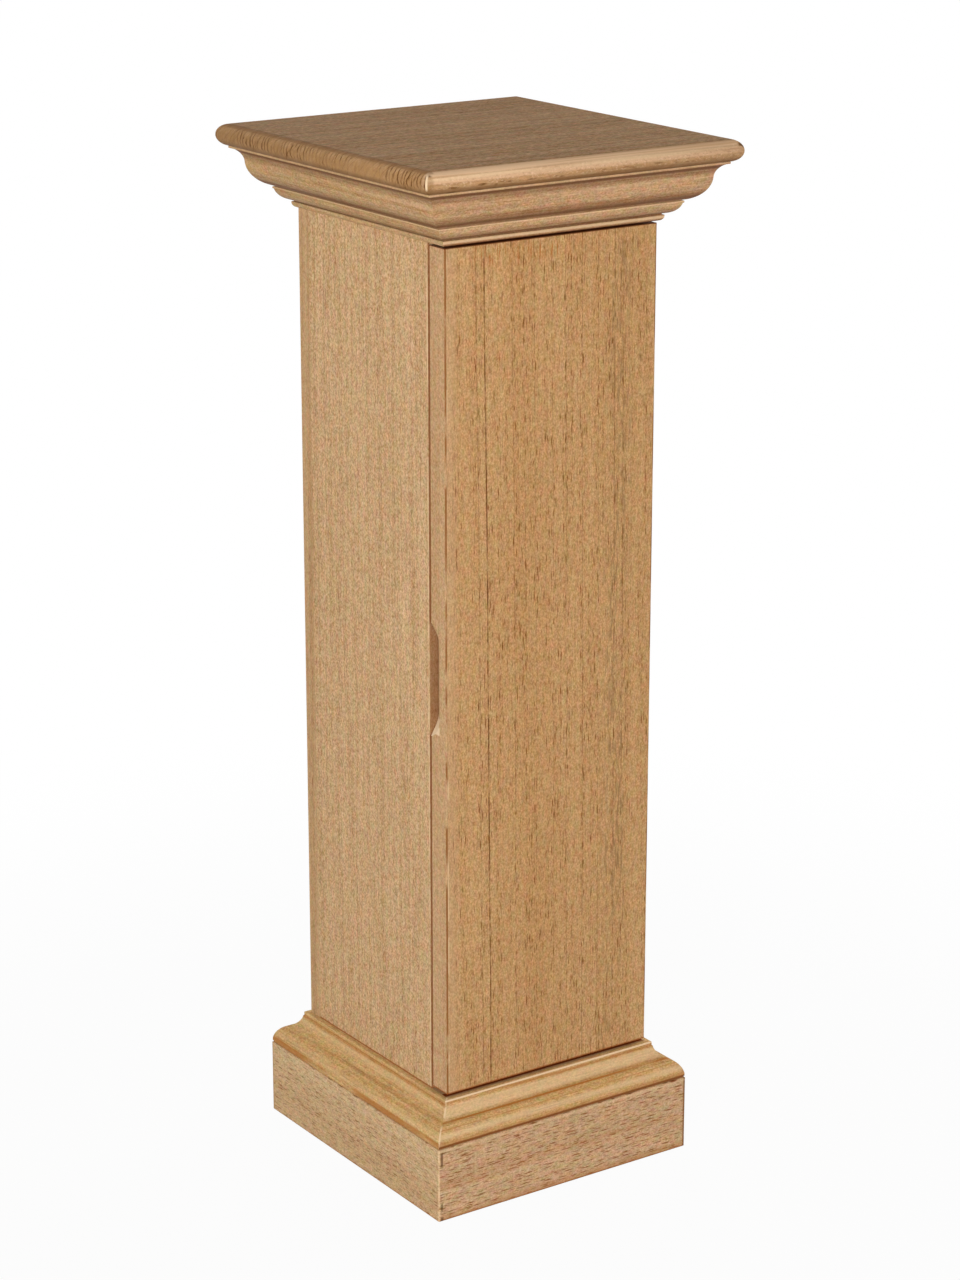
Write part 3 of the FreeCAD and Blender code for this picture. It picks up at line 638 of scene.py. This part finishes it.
bedMarks = {
    "Y": [
        # painted highlight on the fillet, painted shade on the lower ovolo
        mark(paintedHighlight, 0.45, z=past(bedFoot, 13.7, 15, 0.3)),
        mark(footShade, 0.3, z=past(bedFoot, 5.0, 9.5, 2.0)),
        mark(footShade, 0.6, z=past(bedFoot, 4.4, 7.0, 1.0)),
    ],
}
bedMarks["X"] = bedMarks["Y"] + [
    # painted highlight on the bead, painted shade in the gap above the door
    mark(paintedHighlight, 0.6, z=past(bedFoot, 2.0, 3.8, 0.4)),
    mark(gapShade, 0.85, z=past(bedFoot, -2, 1.0, 0.5)),
]
# painted highlight along the front left mitre
mitreHighlight = mark(paintedHighlight, 0.9, [((20, 20, 190), 0.38, 0.5)], mitreLeft=past(mitrePlace, -0.9, 0.9, 0.4),
                  x=(-far, -halfWidth + 4, 1))
capMarks = {
    "X": [
        mitreHighlight,
        # painted glint on the lip's top edge
        mark(paintedGlint, 0.85, [((12, 40, 40), 0.3, 0.5)], y=past(-halfDepth, -4.6, -3.2, 0.25),
             z=past(capFoot, 25.9, 28, 0.25)),
        # painted shade in the quirk under the lip
        mark(orangeLine, 0.6, [((10, 60, 190), 0.36, 0.58)], z=past(capFoot, 23.2, 25.8, 0.5)),
        # painted highlights on the cove and the ovolo
        mark(paintedHighlight, 0.42, z=past(capFoot, 16.0, 22.6, 0.8)),
        mark(paintedHighlight, 0.42, z=past(capFoot, 6.4, 9.8, 1.2)),
        mark(orangeLine, 0.9, [((14, 60, 60), 0.34, 0.5)], z=past(capFoot, 14.4, 15.0, 0.2)),
        mark(orangeLine, 0.5, [((10, 60, 60), 0.42, 0.56)], z=past(capFoot, 11.4, 12.0, 0.2)),
        # painted shade on the ovolo's foot and in the quirk above the plinth
        mark(orangeLine, 0.5, z=past(capFoot, 0.5, 4.4, 1.4)),
        mark(tone(118, 62, 24), 0.85, z=past(capFoot, 0.2, 2.4, 0.6)),
    ],
    "Y": [
        mitreHighlight,
        # painted shade in the quirk under the lip; painted highlights on the cove and the ovolo
        mark(orangeLine, 0.35, z=past(capFoot, 22.8, 25.2, 0.8)),
        mark(paintedHighlight, 0.2, z=past(capFoot, 17.8, 22.4, 0.8)),
        mark(paintedHighlight, 0.15, z=past(capFoot, 6.0, 10.0, 1.4)),
        mark(orangeLine, 0.75, [((30, 12, 30), 0.38, 0.56)], z=past(capFoot, -1, 5.0, 0.8)),
    ],
}
for run, grainOf in runGrain.items():
    plain = {**grainOf, **stripes}
    beechLooks["crownBeech" + run] = {**plain, **runTones[run], "marks": crownMarks}
    beechLooks["bedBeech" + run] = {**plain, **runTones[run], "marks": bedMarks[run]}
    beechLooks["capBeech" + run] = {**plain, **capTones[run], "marks": capMarks[run]}
finishes = {name: beech(name, {**plainBeech, **look}) for name, look in beechLooks.items()}
print("beech finishes mixed:", len(finishes))


# Metals and the catch's plastic
plainMetal = {
    "cloudSize": (90, 90, 90),
    "cloudStep": (0.35, 0.7),
    "scratchStep": (0.3, 0.7),
    "bump": (0.15, 0.1),  # strength, depth in millimetres
}
metalLooks = {
    "hingeBrass": dict(bright=tone(222, 184, 108), dull=tone(190, 146, 76), brush=(300, 300, 2600),
                       gloss=(0.22, 0.36), metal=1.0),
    "zincSteel": dict(bright=tone(204, 206, 206), dull=tone(170, 172, 170), brush=(900, 900, 900),
                      gloss=(0.28, 0.42), metal=1.0),
    "catchPlastic": dict(bright=tone(112, 74, 48), dull=tone(98, 63, 40), brush=(2200, 2200, 2200),
                         gloss=(0.42, 0.56), metal=0.0),
    "darkFerrite": dict(bright=tone(62, 60, 60), dull=tone(44, 43, 44), brush=(1600, 1600, 1600),
                        gloss=(0.5, 0.7), metal=0.0),
}


def wornMetal(name, look):
    material, tree, shader = newMaterial(name)
    own = addNode(tree, "ShaderNodeTexCoord").outputs["Object"]
    cloud = noise(tree, own, look["cloudSize"], detail=3.0, rough=0.6)[0]
    scratch = noise(tree, own, look["brush"])[0]
    colour = mixTone(tree, ease(tree, cloud, *look["cloudStep"]), look["bright"], look["dull"])
    gloss = ease(tree, scratch, *look["scratchStep"], *look["gloss"])
    dress(tree, shader, colour, gloss, scratch, look["bump"])
    shader.inputs["Metallic"].default_value = look["metal"]
    return material


metals = {name: wornMetal(name, {**plainMetal, **look}) for name, look in metalLooks.items()}
finishOf = {**finishes, **metals}
print("metals and plastic mixed:", len(metals))


# Pieces
def newPiece(name, mesh, material, body, node):
    mesh.materials.clear()
    mesh.materials.append(material)
    piece = bpy.data.objects.new(name, mesh)
    scene.collection.objects.link(piece)
    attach(piece, body)
    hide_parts(node)


def smoothMesh(mesh, degrees=32):
    mesh.shade_smooth()
    mesh.set_sharp_from_angle(angle=math.radians(degrees))


def writeMesh(bm, mesh, degrees=32):
    bm.to_mesh(mesh)
    bm.free()
    smoothMesh(mesh, degrees)


def soften(bm, width, degrees=40, steps=2):
    # a small round on every sharp edge
    limit = math.radians(degrees)
    sharp = [edge for edge in bm.edges if edge.is_manifold and edge.calc_face_angle() > limit]
    bmesh.ops.bevel(bm, geom=sharp, offset=width, segments=steps, profile=0.5, affect="EDGES",
                    clamp_overlap=True)


def joinedCopy(node, gap=0.001 * mm, flat=0.5):
    # the node's triangles joined at their corners, flat faces in one piece
    bm = bmesh.new()
    bm.from_mesh(nodes[node].data)
    bmesh.ops.remove_doubles(bm, verts=bm.verts, dist=gap)
    bmesh.ops.dissolve_limit(bm, angle_limit=math.radians(flat), verts=bm.verts, edges=bm.edges)
    return bm


def solidBoxes(node):
    # the low and high corner of each separate solid in a node, always in the same order
    bm = joinedCopy(node)
    waiting, boxes = set(bm.verts), []
    while waiting:
        reached = [waiting.pop()]
        for vert in reached:
            for edge in vert.link_edges:
                other = edge.other_vert(vert)
                if other in waiting:
                    waiting.remove(other)
                    reached.append(other)
        lows = Vector([min(vert.co[axis] for vert in reached) for axis in range(3)])
        highs = Vector([max(vert.co[axis] for vert in reached) for axis in range(3)])
        boxes.append((lows, highs))
    bm.free()
    return sorted(boxes, key=lambda box: [round(c / mm, 1) for c in box[0]])


# Top board: half-round edges that meet in mitred corners
topBoard = {"steps": 20, "flatRim": 1.5 * mm, "cornerEase": 0.6 * mm, "smooth": 30}


def buildTopBoard(look):
    low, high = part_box("top_board")
    radius, middle = (high.z - low.z) / 2, (high.z + low.z) / 2
    bm = bmesh.new()
    rings = []

    def ring(inset, z):
        corners = [(low.x + inset, low.y + inset), (high.x - inset, low.y + inset),
                   (high.x - inset, high.y - inset), (low.x + inset, high.y - inset)]
        rings.append([bm.verts.new((x, y, z)) for x, y in corners])

    ring(radius + look["flatRim"], low.z)
    for step in range(look["steps"] + 1):
        angle = math.pi * (step / look["steps"] - 0.5)
        ring(radius - radius * math.cos(angle), middle + radius * math.sin(angle))
    ring(radius + look["flatRim"], high.z)
    bm.faces.new(reversed(rings[0]))
    bm.faces.new(rings[-1])
    mitres = []
    for below, higher in zip(rings, rings[1:]):
        for side in range(4):
            other = (side + 1) % 4
            bm.faces.new((below[side], below[other], higher[other], higher[side]))
            mitres.append(bm.edges.get((below[side], higher[side])))
    rounded = mitres[4:-4]  # all but the four of each flat rim
    bmesh.ops.bevel(bm, geom=rounded, offset=look["cornerEase"], segments=2, affect="EDGES", profile=0.5)
    mesh = bpy.data.meshes.new("topBoard")
    writeMesh(bm, mesh, look["smooth"])
    newPiece("topBoard", mesh, finishOf["topBeech"], "stand", "top_board")


buildTopBoard(topBoard)
print("top board made")


# Node trees that grow pieces on seats
def newTree(name, inputs):
    tree = bpy.data.node_groups.new(name, "GeometryNodeTree")
    tree.interface.new_socket("Geometry", in_out="INPUT", socket_type="NodeSocketGeometry")
    for label, kind in inputs.items():
        tree.interface.new_socket(label, in_out="INPUT", socket_type="NodeSocket" + kind)
    tree.interface.new_socket("Geometry", in_out="OUTPUT", socket_type="NodeSocketGeometry")
    return tree, addNode(tree, "NodeGroupInput").outputs


def closeTree(tree, geometry, material):
    whole = firstOut(tree, "GeometryNodeRealizeInstances", {0: geometry})
    whole = firstOut(tree, "GeometryNodeSetMaterial", {"Geometry": whole, "Material": material})
    addNode(tree, "NodeGroupOutput", {0: whole})
    return tree


def placeOf(tree):
    return splitUp(tree, firstOut(tree, "GeometryNodeInputPosition"))


def moved(tree, geometry, translation=(0, 0, 0), rotation=(0, 0, 0)):
    inputs = {"Geometry": geometry, "Translation": translation, "Rotation": rotation}
    return firstOut(tree, "GeometryNodeTransform", inputs)


def joined(tree, parts):
    node = addNode(tree, "GeometryNodeJoinGeometry")
    for part in parts:
        tree.links.new(part, node.inputs[0])
    return node.outputs[0]


def seated(tree, given, piece, rotation):
    inputs = {"Points": given["Geometry"], "Instance": piece, "Rotation": rotation}
    return closeTree(tree, firstOut(tree, "GeometryNodeInstanceOnPoints", inputs), given["Finish"])


def growMesh(name, tree, seats, sizes):
    mesh = bpy.data.meshes.new(name + "Seats")
    mesh.from_pydata(seats, [], [])
    maker = bpy.data.objects.new(name + "Maker", mesh)
    scene.collection.objects.link(maker)
    modifier = maker.modifiers.new("grow", "NODES")
    modifier.node_group = tree
    for item in tree.interface.items_tree:
        if item.in_out == "INPUT" and item.name in sizes:
            modifier[item.identifier] = sizes[item.name]
    bpy.context.view_layer.update()
    grown = bpy.data.meshes.new_from_object(maker.evaluated_get(bpy.context.evaluated_depsgraph_get()))
    grown.name = name
    maker.modifiers.remove(modifier)
    bpy.data.objects.remove(maker)
    return grown


# Mouldings: a profile swept along a straight run, then widened with its own projection for the mitres
def mitredRunTree():
    tree, given = newTree("mitredRun", {"Profile": "Object", "Half Run": "Float", "Face Distance": "Float",
                                        "Turn": "Float", "Finish": "Material"})
    profile = addNode(tree, "GeometryNodeObjectInfo", {"Object": given["Profile"]}).outputs["Geometry"]
    ends = {"Start": (-1, 0, 0), "End": (1, 0, 0)}
    path = firstOut(tree, "GeometryNodeCurvePrimitiveLine", ends)
    path = firstOut(tree, "GeometryNodeSetCurveNormal", {0: path}, mode="Z_UP")
    sweep = {"Curve": path, "Profile Curve": profile, "Fill Caps": True}
    run = firstOut(tree, "GeometryNodeCurveToMesh", sweep)
    x, y, z = placeOf(tree)
    reach = calc(tree, "SUBTRACT", given["Half Run"], y)
    away = calc(tree, "SUBTRACT", y, given["Face Distance"])
    spread = combine(tree, calc(tree, "MULTIPLY", x, reach), away, z)
    run = firstOut(tree, "GeometryNodeSetPosition", {"Geometry": run, "Position": spread})
    run = moved(tree, run, rotation=combine(tree, z=given["Turn"]))
    return closeTree(tree, run, given["Finish"])


profileDetail = {
    "bowSteps": 14,
    "arrisSteps": 3,
    "arris": 0.4,  # round on a corner, in millimetres
    "edgeShare": 0.45,  # the most of an edge that its round may take
    "sharpTurn": 0.45,  # radians; smaller turns stay as they are
    "wallOffset": 0.01,  # corners on the column's face stay too
}


def bowedPath(start, end, sagitta, steps):
    # points on the arc from start to end; a positive sagitta bows it to the left
    run = Vector((end[0] - start[0], end[1] - start[1]))
    chord = run.length
    radius = (chord * chord / 4 + sagitta * sagitta) / (2 * abs(sagitta))
    side = 1 if sagitta > 0 else -1
    ahead, left = run / chord, Vector((-run.y, run.x)) / chord
    centre = Vector(start) + run / 2 + left * side * (abs(sagitta) - radius)
    half = math.asin(min(1.0, chord / 2 / radius))
    points = []
    for step in range(1, steps + 1):
        angle = -half + 2 * half * step / steps
        points.append(centre + ahead * radius * math.sin(angle) + left * side * radius * math.cos(angle))
    return points


def mouldingProfile(start, steps, detail):
    # a step is a corner (offset, height) or the end of a bowed edge (offset, height, sagitta)
    points = [Vector(start)]
    for step in steps:
        if len(step) == 3:
            points += bowedPath(points[-1], step[:2], step[2], detail["bowSteps"])
        else:
            points.append(Vector(step))
    soft = []
    for number, here in enumerate(points):
        before = points[number - 1] - here
        after = points[(number + 1) % len(points)] - here
        turned = math.pi - before.angle(after)
        if turned < detail["sharpTurn"] or here.x < detail["wallOffset"]:
            soft.append(here)
            continue
        room = min(before.length, after.length) * detail["edgeShare"]
        reach = min(detail["arris"], room)
        first, last = here + before.normalized() * reach, here + after.normalized() * reach
        for part in range(detail["arrisSteps"] + 1):
            t = part / detail["arrisSteps"]
            soft.append(first * (1 - t) ** 2 + here * 2 * t * (1 - t) + last * t ** 2)
    return soft


def profileCurve(name, points, foot):
    data = bpy.data.curves.new(name, "CURVE")
    data.dimensions = "3D"
    spline = data.splines.new("POLY")
    spline.points.add(len(points) - 1)
    for point, place in zip(spline.points, points):
        point.co = (place.x * mm, -(foot + place.y) * mm, 0, 1)
    spline.use_cyclic_u = True
    curve = bpy.data.objects.new(name, data)
    scene.collection.objects.link(curve)
    return curve


# Profiles in millimetres: offset from the column's face and height above the tier's underside
mouldings = {
    "crown": {
        "finish": "crownBeech",
        "foot": crownFoot,
        "start": (0, 28),
        "steps": [(35.7, 28), (35.7, 26.4), (34.4, 26.4), (27.4, 17, -1.8), (14.6, 1, 3.2), (11.8, 1),
                  (11.8, 0), (0, 0)],
    },
    "bed_moulding": {
        "finish": "bedBeech",
        "foot": bedFoot,
        "start": (0, 14.5),
        "steps": [(13.3, 14.5), (13.3, 13.0), (12.6, 13.0), (3.6, 5.4, 1.9), (2.2, 5.4), (2.2, 4.3),
                  (3.6, 4.3), (3.6, 3.5), (0.5, 0, 0.9), (0, 0)],
    },
    "base_cap": {
        "finish": "capBeech",
        "foot": capFoot,
        "start": (0, 27.1),
        "steps": [(4, 27.1), (4, 24.1), (4.5, 24.1), (12, 14.8, -1.5), (21.9, 3, 2.2), (21.9, 1.2),
                  (21.4, 1.2), (21.4, 0), (0, 0)],
    },
}
sides = {"front": 0, "right": 90, "back": 180, "left": 270}


def buildMouldings(looks, detail):
    tree = mitredRunTree()
    for tier, look in looks.items():
        points = mouldingProfile(look["start"], look["steps"], detail)
        curve = profileCurve(tier + "Profile", points, look["foot"])
        for side, turn in sides.items():
            alongX = side in ("front", "back")
            material = finishOf[look["finish"] + ("X" if alongX else "Y")]
            node = tier + "_" + side
            mesh = growMesh(node + "_run", tree, [(0, 0, 0)], {
                "Profile": curve,
                "Half Run": (halfWidth if alongX else halfDepth) * mm,
                "Face Distance": (halfDepth if alongX else halfWidth) * mm,
                "Turn": math.radians(turn),
                "Finish": material,
            })
            smoothMesh(mesh)
            newPiece(node + "_run", mesh, material, "stand", node)
        bpy.data.objects.remove(curve)


buildMouldings(mouldings, profileDetail)
print("mouldings run:", len(mouldings) * len(sides))


# Screws: countersunk head with a cross recess, shank and point, each turned as it was driven
screwShape = {
    "sides": 36,
    "tip": 0.25,  # share of the length
    "point": 0.25,  # share of the shank's radius
    "recess": (1.1, 0.26, 0.6),  # a bar of the cross, in head radii
}


def woodScrewTree(shape):
    tree, given = newTree("woodScrew", {"Head Radius": "Float", "Shank Radius": "Float", "Length": "Float",
                                        "Facing": "Vector", "Spin Seed": "Int", "Finish": "Material"})
    head, shank, length = given["Head Radius"], given["Shank Radius"], given["Length"]
    sink = calc(tree, "SUBTRACT", head, shank)
    tip = calc(tree, "MULTIPLY", length, shape["tip"])
    body = calc(tree, "SUBTRACT", calc(tree, "SUBTRACT", length, sink), tip)

    def turnedPart(upper, lower, height, drop):
        sizes = {"Vertices": shape["sides"], "Radius Top": upper, "Radius Bottom": lower, "Depth": height}
        cone = firstOut(tree, "GeometryNodeMeshCone", sizes)
        return moved(tree, cone, combine(tree, z=calc(tree, "MULTIPLY", drop, -1.0)))

    headPart = turnedPart(head, shank, sink, sink)
    cut = addNode(tree, "GeometryNodeMeshBoolean", {0: headPart}, operation="DIFFERENCE", solver="EXACT")
    size = combine(tree, *[calc(tree, "MULTIPLY", head, share) for share in shape["recess"]])
    bar = firstOut(tree, "GeometryNodeMeshCube", {"Size": size})
    tree.links.new(bar, cut.inputs[1])
    tree.links.new(moved(tree, bar, rotation=(0, 0, quarter)), cut.inputs[1])
    shankPart = turnedPart(shank, shank, body, calc(tree, "SUBTRACT", length, tip))
    tipPart = turnedPart(shank, calc(tree, "MULTIPLY", shank, shape["point"]), tip, length)
    screw = joined(tree, [cut.outputs[0], shankPart, tipPart])

    anyTurn = {2: 0.0, 3: math.tau, "Seed": given["Spin Seed"]}
    spin = addNode(tree, "FunctionNodeRandomValue", anyTurn, data_type="FLOAT").outputs[1]
    spin = firstOut(tree, "FunctionNodeEulerToRotation", {0: combine(tree, z=spin)})
    facing = firstOut(tree, "FunctionNodeEulerToRotation", {0: given["Facing"]})
    turn = firstOut(tree, "FunctionNodeRotateRotation", {0: facing, 1: spin}, rotation_space="LOCAL")
    return seated(tree, given, screw, turn)


# Sizes in millimetres; facing is the way that the heads look
boardScrew = {"head": 3.6, "shank": 1.75, "length": 26, "finish": "zincSteel", "slot": "zinc_steel"}
hingeScrew = {"head": 2.8, "shank": 1.3, "length": 14, "finish": "hingeBrass", "slot": "brass"}
catchScrew = {"head": 2.6, "shank": 1.2, "length": 11, "finish": "zincSteel", "slot": "zinc_steel"}
screwSets = {
    "back_screws": {**boardScrew, "facing": "+y", "seed": 3, "body": "stand"},
    "top_screws": {**boardScrew, "facing": "-z", "seed": 5, "body": "stand"},
    "hinge_side_screws": {**hingeScrew, "facing": "-y", "seed": 8, "body": "stand"},
    "hinge_door_screws": {**hingeScrew, "facing": "+y", "seed": 11, "body": "door"},
    "catch_screws": {**catchScrew, "facing": "+x", "seed": 14, "body": "stand"},
    "strike_screw": {**catchScrew, "facing": "+y", "seed": 17, "body": "door"},
}
facings = {"+x": (0, quarter, 0), "+y": (-quarter, 0, 0), "-y": (quarter, 0, 0), "-z": (math.pi, 0, 0)}


def buildScrews(looks, shape):
    tree = woodScrewTree(shape)
    for node, look in looks.items():
        axis = "xyz".index(look["facing"][1])
        seats = []
        for low, high in solidBoxes(node):
            seat = (low + high) / 2
            seat[axis] = high[axis] if look["facing"][0] == "+" else low[axis]
            seats.append(seat)
        material = finishOf[look["finish"]]
        mesh = growMesh(node + "_driven", tree, seats, {
            "Head Radius": look["head"] * mm,
            "Shank Radius": look["shank"] * mm,
            "Length": look["length"] * mm,
            "Facing": facings[look["facing"]],
            "Spin Seed": look["seed"],
            "Finish": material,
        })
        smoothMesh(mesh)
        newPiece(node + "_driven", mesh, material, look["body"], node)


buildScrews(screwSets, screwShape)
print("screws driven:", len(screwSets), "sets")


# Shelf pegs: a pin in the side panel and a flat tongue under the shelf, in millimetres
shelfPegs = {"sides": 28, "pinRadius": 2.5, "pinLength": 9, "tongue": (11, 9, 2), "arris": 0.3,
             "finish": "hingeBrass"}


def shelfPegTree(sidesOf):
    tree, given = newTree("shelfPeg", {"Pin Radius": "Float", "Pin Length": "Float", "Tongue": "Vector",
                                       "Finish": "Material"})
    sizes = {"Vertices": sidesOf, "Radius": given["Pin Radius"], "Depth": given["Pin Length"]}
    pin = firstOut(tree, "GeometryNodeMeshCylinder", sizes)
    half = calc(tree, "MULTIPLY", given["Pin Length"], 0.5)
    pin = moved(tree, pin, combine(tree, x=half), (0, quarter, 0))
    tongueLength = splitUp(tree, given["Tongue"])[0]
    tongue = firstOut(tree, "GeometryNodeMeshCube", {"Size": given["Tongue"]})
    tongue = moved(tree, tongue, combine(tree, x=calc(tree, "MULTIPLY", tongueLength, -0.5)))
    peg = joined(tree, [pin, tongue])
    onLeft = calc(tree, "LESS_THAN", placeOf(tree)[0], 0.0)
    return seated(tree, given, peg, combine(tree, z=calc(tree, "MULTIPLY", onLeft, math.pi)))


def buildPegs(look):
    tree = shelfPegTree(look["sides"])
    inner = spanOf("right_side_panel")[0].x * mm
    for node in ("shelf_pegs_1", "shelf_pegs_2"):
        seats = []
        for low, high in solidBoxes(node):
            middle = (low + high) / 2
            seats.append((math.copysign(inner, middle.x), middle.y, middle.z))
        mesh = growMesh(node + "_set", tree, seats, {
            "Pin Radius": look["pinRadius"] * mm,
            "Pin Length": look["pinLength"] * mm,
            "Tongue": [side * mm for side in look["tongue"]],
            "Finish": finishOf[look["finish"]],
        })
        bm = bmesh.new()
        bm.from_mesh(mesh)
        soften(bm, look["arris"] * mm)
        writeMesh(bm, mesh)
        newPiece(node + "_set", mesh, finishOf[look["finish"]], "stand", node)


buildPegs(shelfPegs)
print("shelf pegs set")


# Boards and fittings with softened arrises: width of the round in millimetres, finish, body, slot
softPieces = {
    "shelf_1": (0.6, "innerBeech", "stand", "beech_interior"),
    "shelf_2": (0.6, "innerBeech", "stand", "beech_interior"),
    "upper_hinge_side_leaf": (0.15, "hingeBrass", "stand", "brass"),
    "lower_hinge_side_leaf": (0.15, "hingeBrass", "stand", "brass"),
    "upper_hinge_door_leaf": (0.15, "hingeBrass", "door", "brass"),
    "lower_hinge_door_leaf": (0.15, "hingeBrass", "door", "brass"),
    "hinge_pins": (0.25, "hingeBrass", "stand", "brass"),
    "catch_housing": (0.4, "catchPlastic", "stand", "catch_plastic"),
    "catch_pole_plates": (0.12, "zincSteel", "stand", "zinc_steel"),
    "strike_plate": (0.2, "zincSteel", "door", "zinc_steel"),
}


def buildSoftPieces(looks):
    for node, (width, finish, body, slotName) in looks.items():
        bm = joinedCopy(node)
        soften(bm, width * mm)
        mesh = bpy.data.meshes.new(node + "_soft")
        writeMesh(bm, mesh)
        newPiece(node + "_soft", mesh, finishOf[finish], body, node)


buildSoftPieces(softPieces)
print("softened pieces:", len(softPieces))


# Boards and the magnet, which keep their solid shape
solidFinishes = {
    "plinth_front": "plinthBeechX",
    "plinth_back": "plinthBeechX",
    "plinth_left": "plinthBeechY",
    "plinth_right": "plinthBeechY",
    "left_side_panel": "leftPanelBeech",
    "right_side_panel": "rightPanelBeech",
    "back_panel": "backPanelBeech",
    "cupboard_floor": "innerBeech",
    "cupboard_ceiling": "innerBeech",
    "upper_front_rail": "upperRailBeech",
    "lower_front_rail": "lowerRailBeech",
    "carcass_dowels": "dowelBeech",
    "door_panel": "doorBeech",
    "door_free_edge_band": "edgeBandBeech",
    "door_hinge_edge_band": "edgeBandBeech",
    "catch_magnet": "darkFerrite",
}
for node, finish in solidFinishes.items():
    for place in nodes[node].material_slots:
        place.material = finishOf[finish]
print("solid pieces finished:", len(solidFinishes))
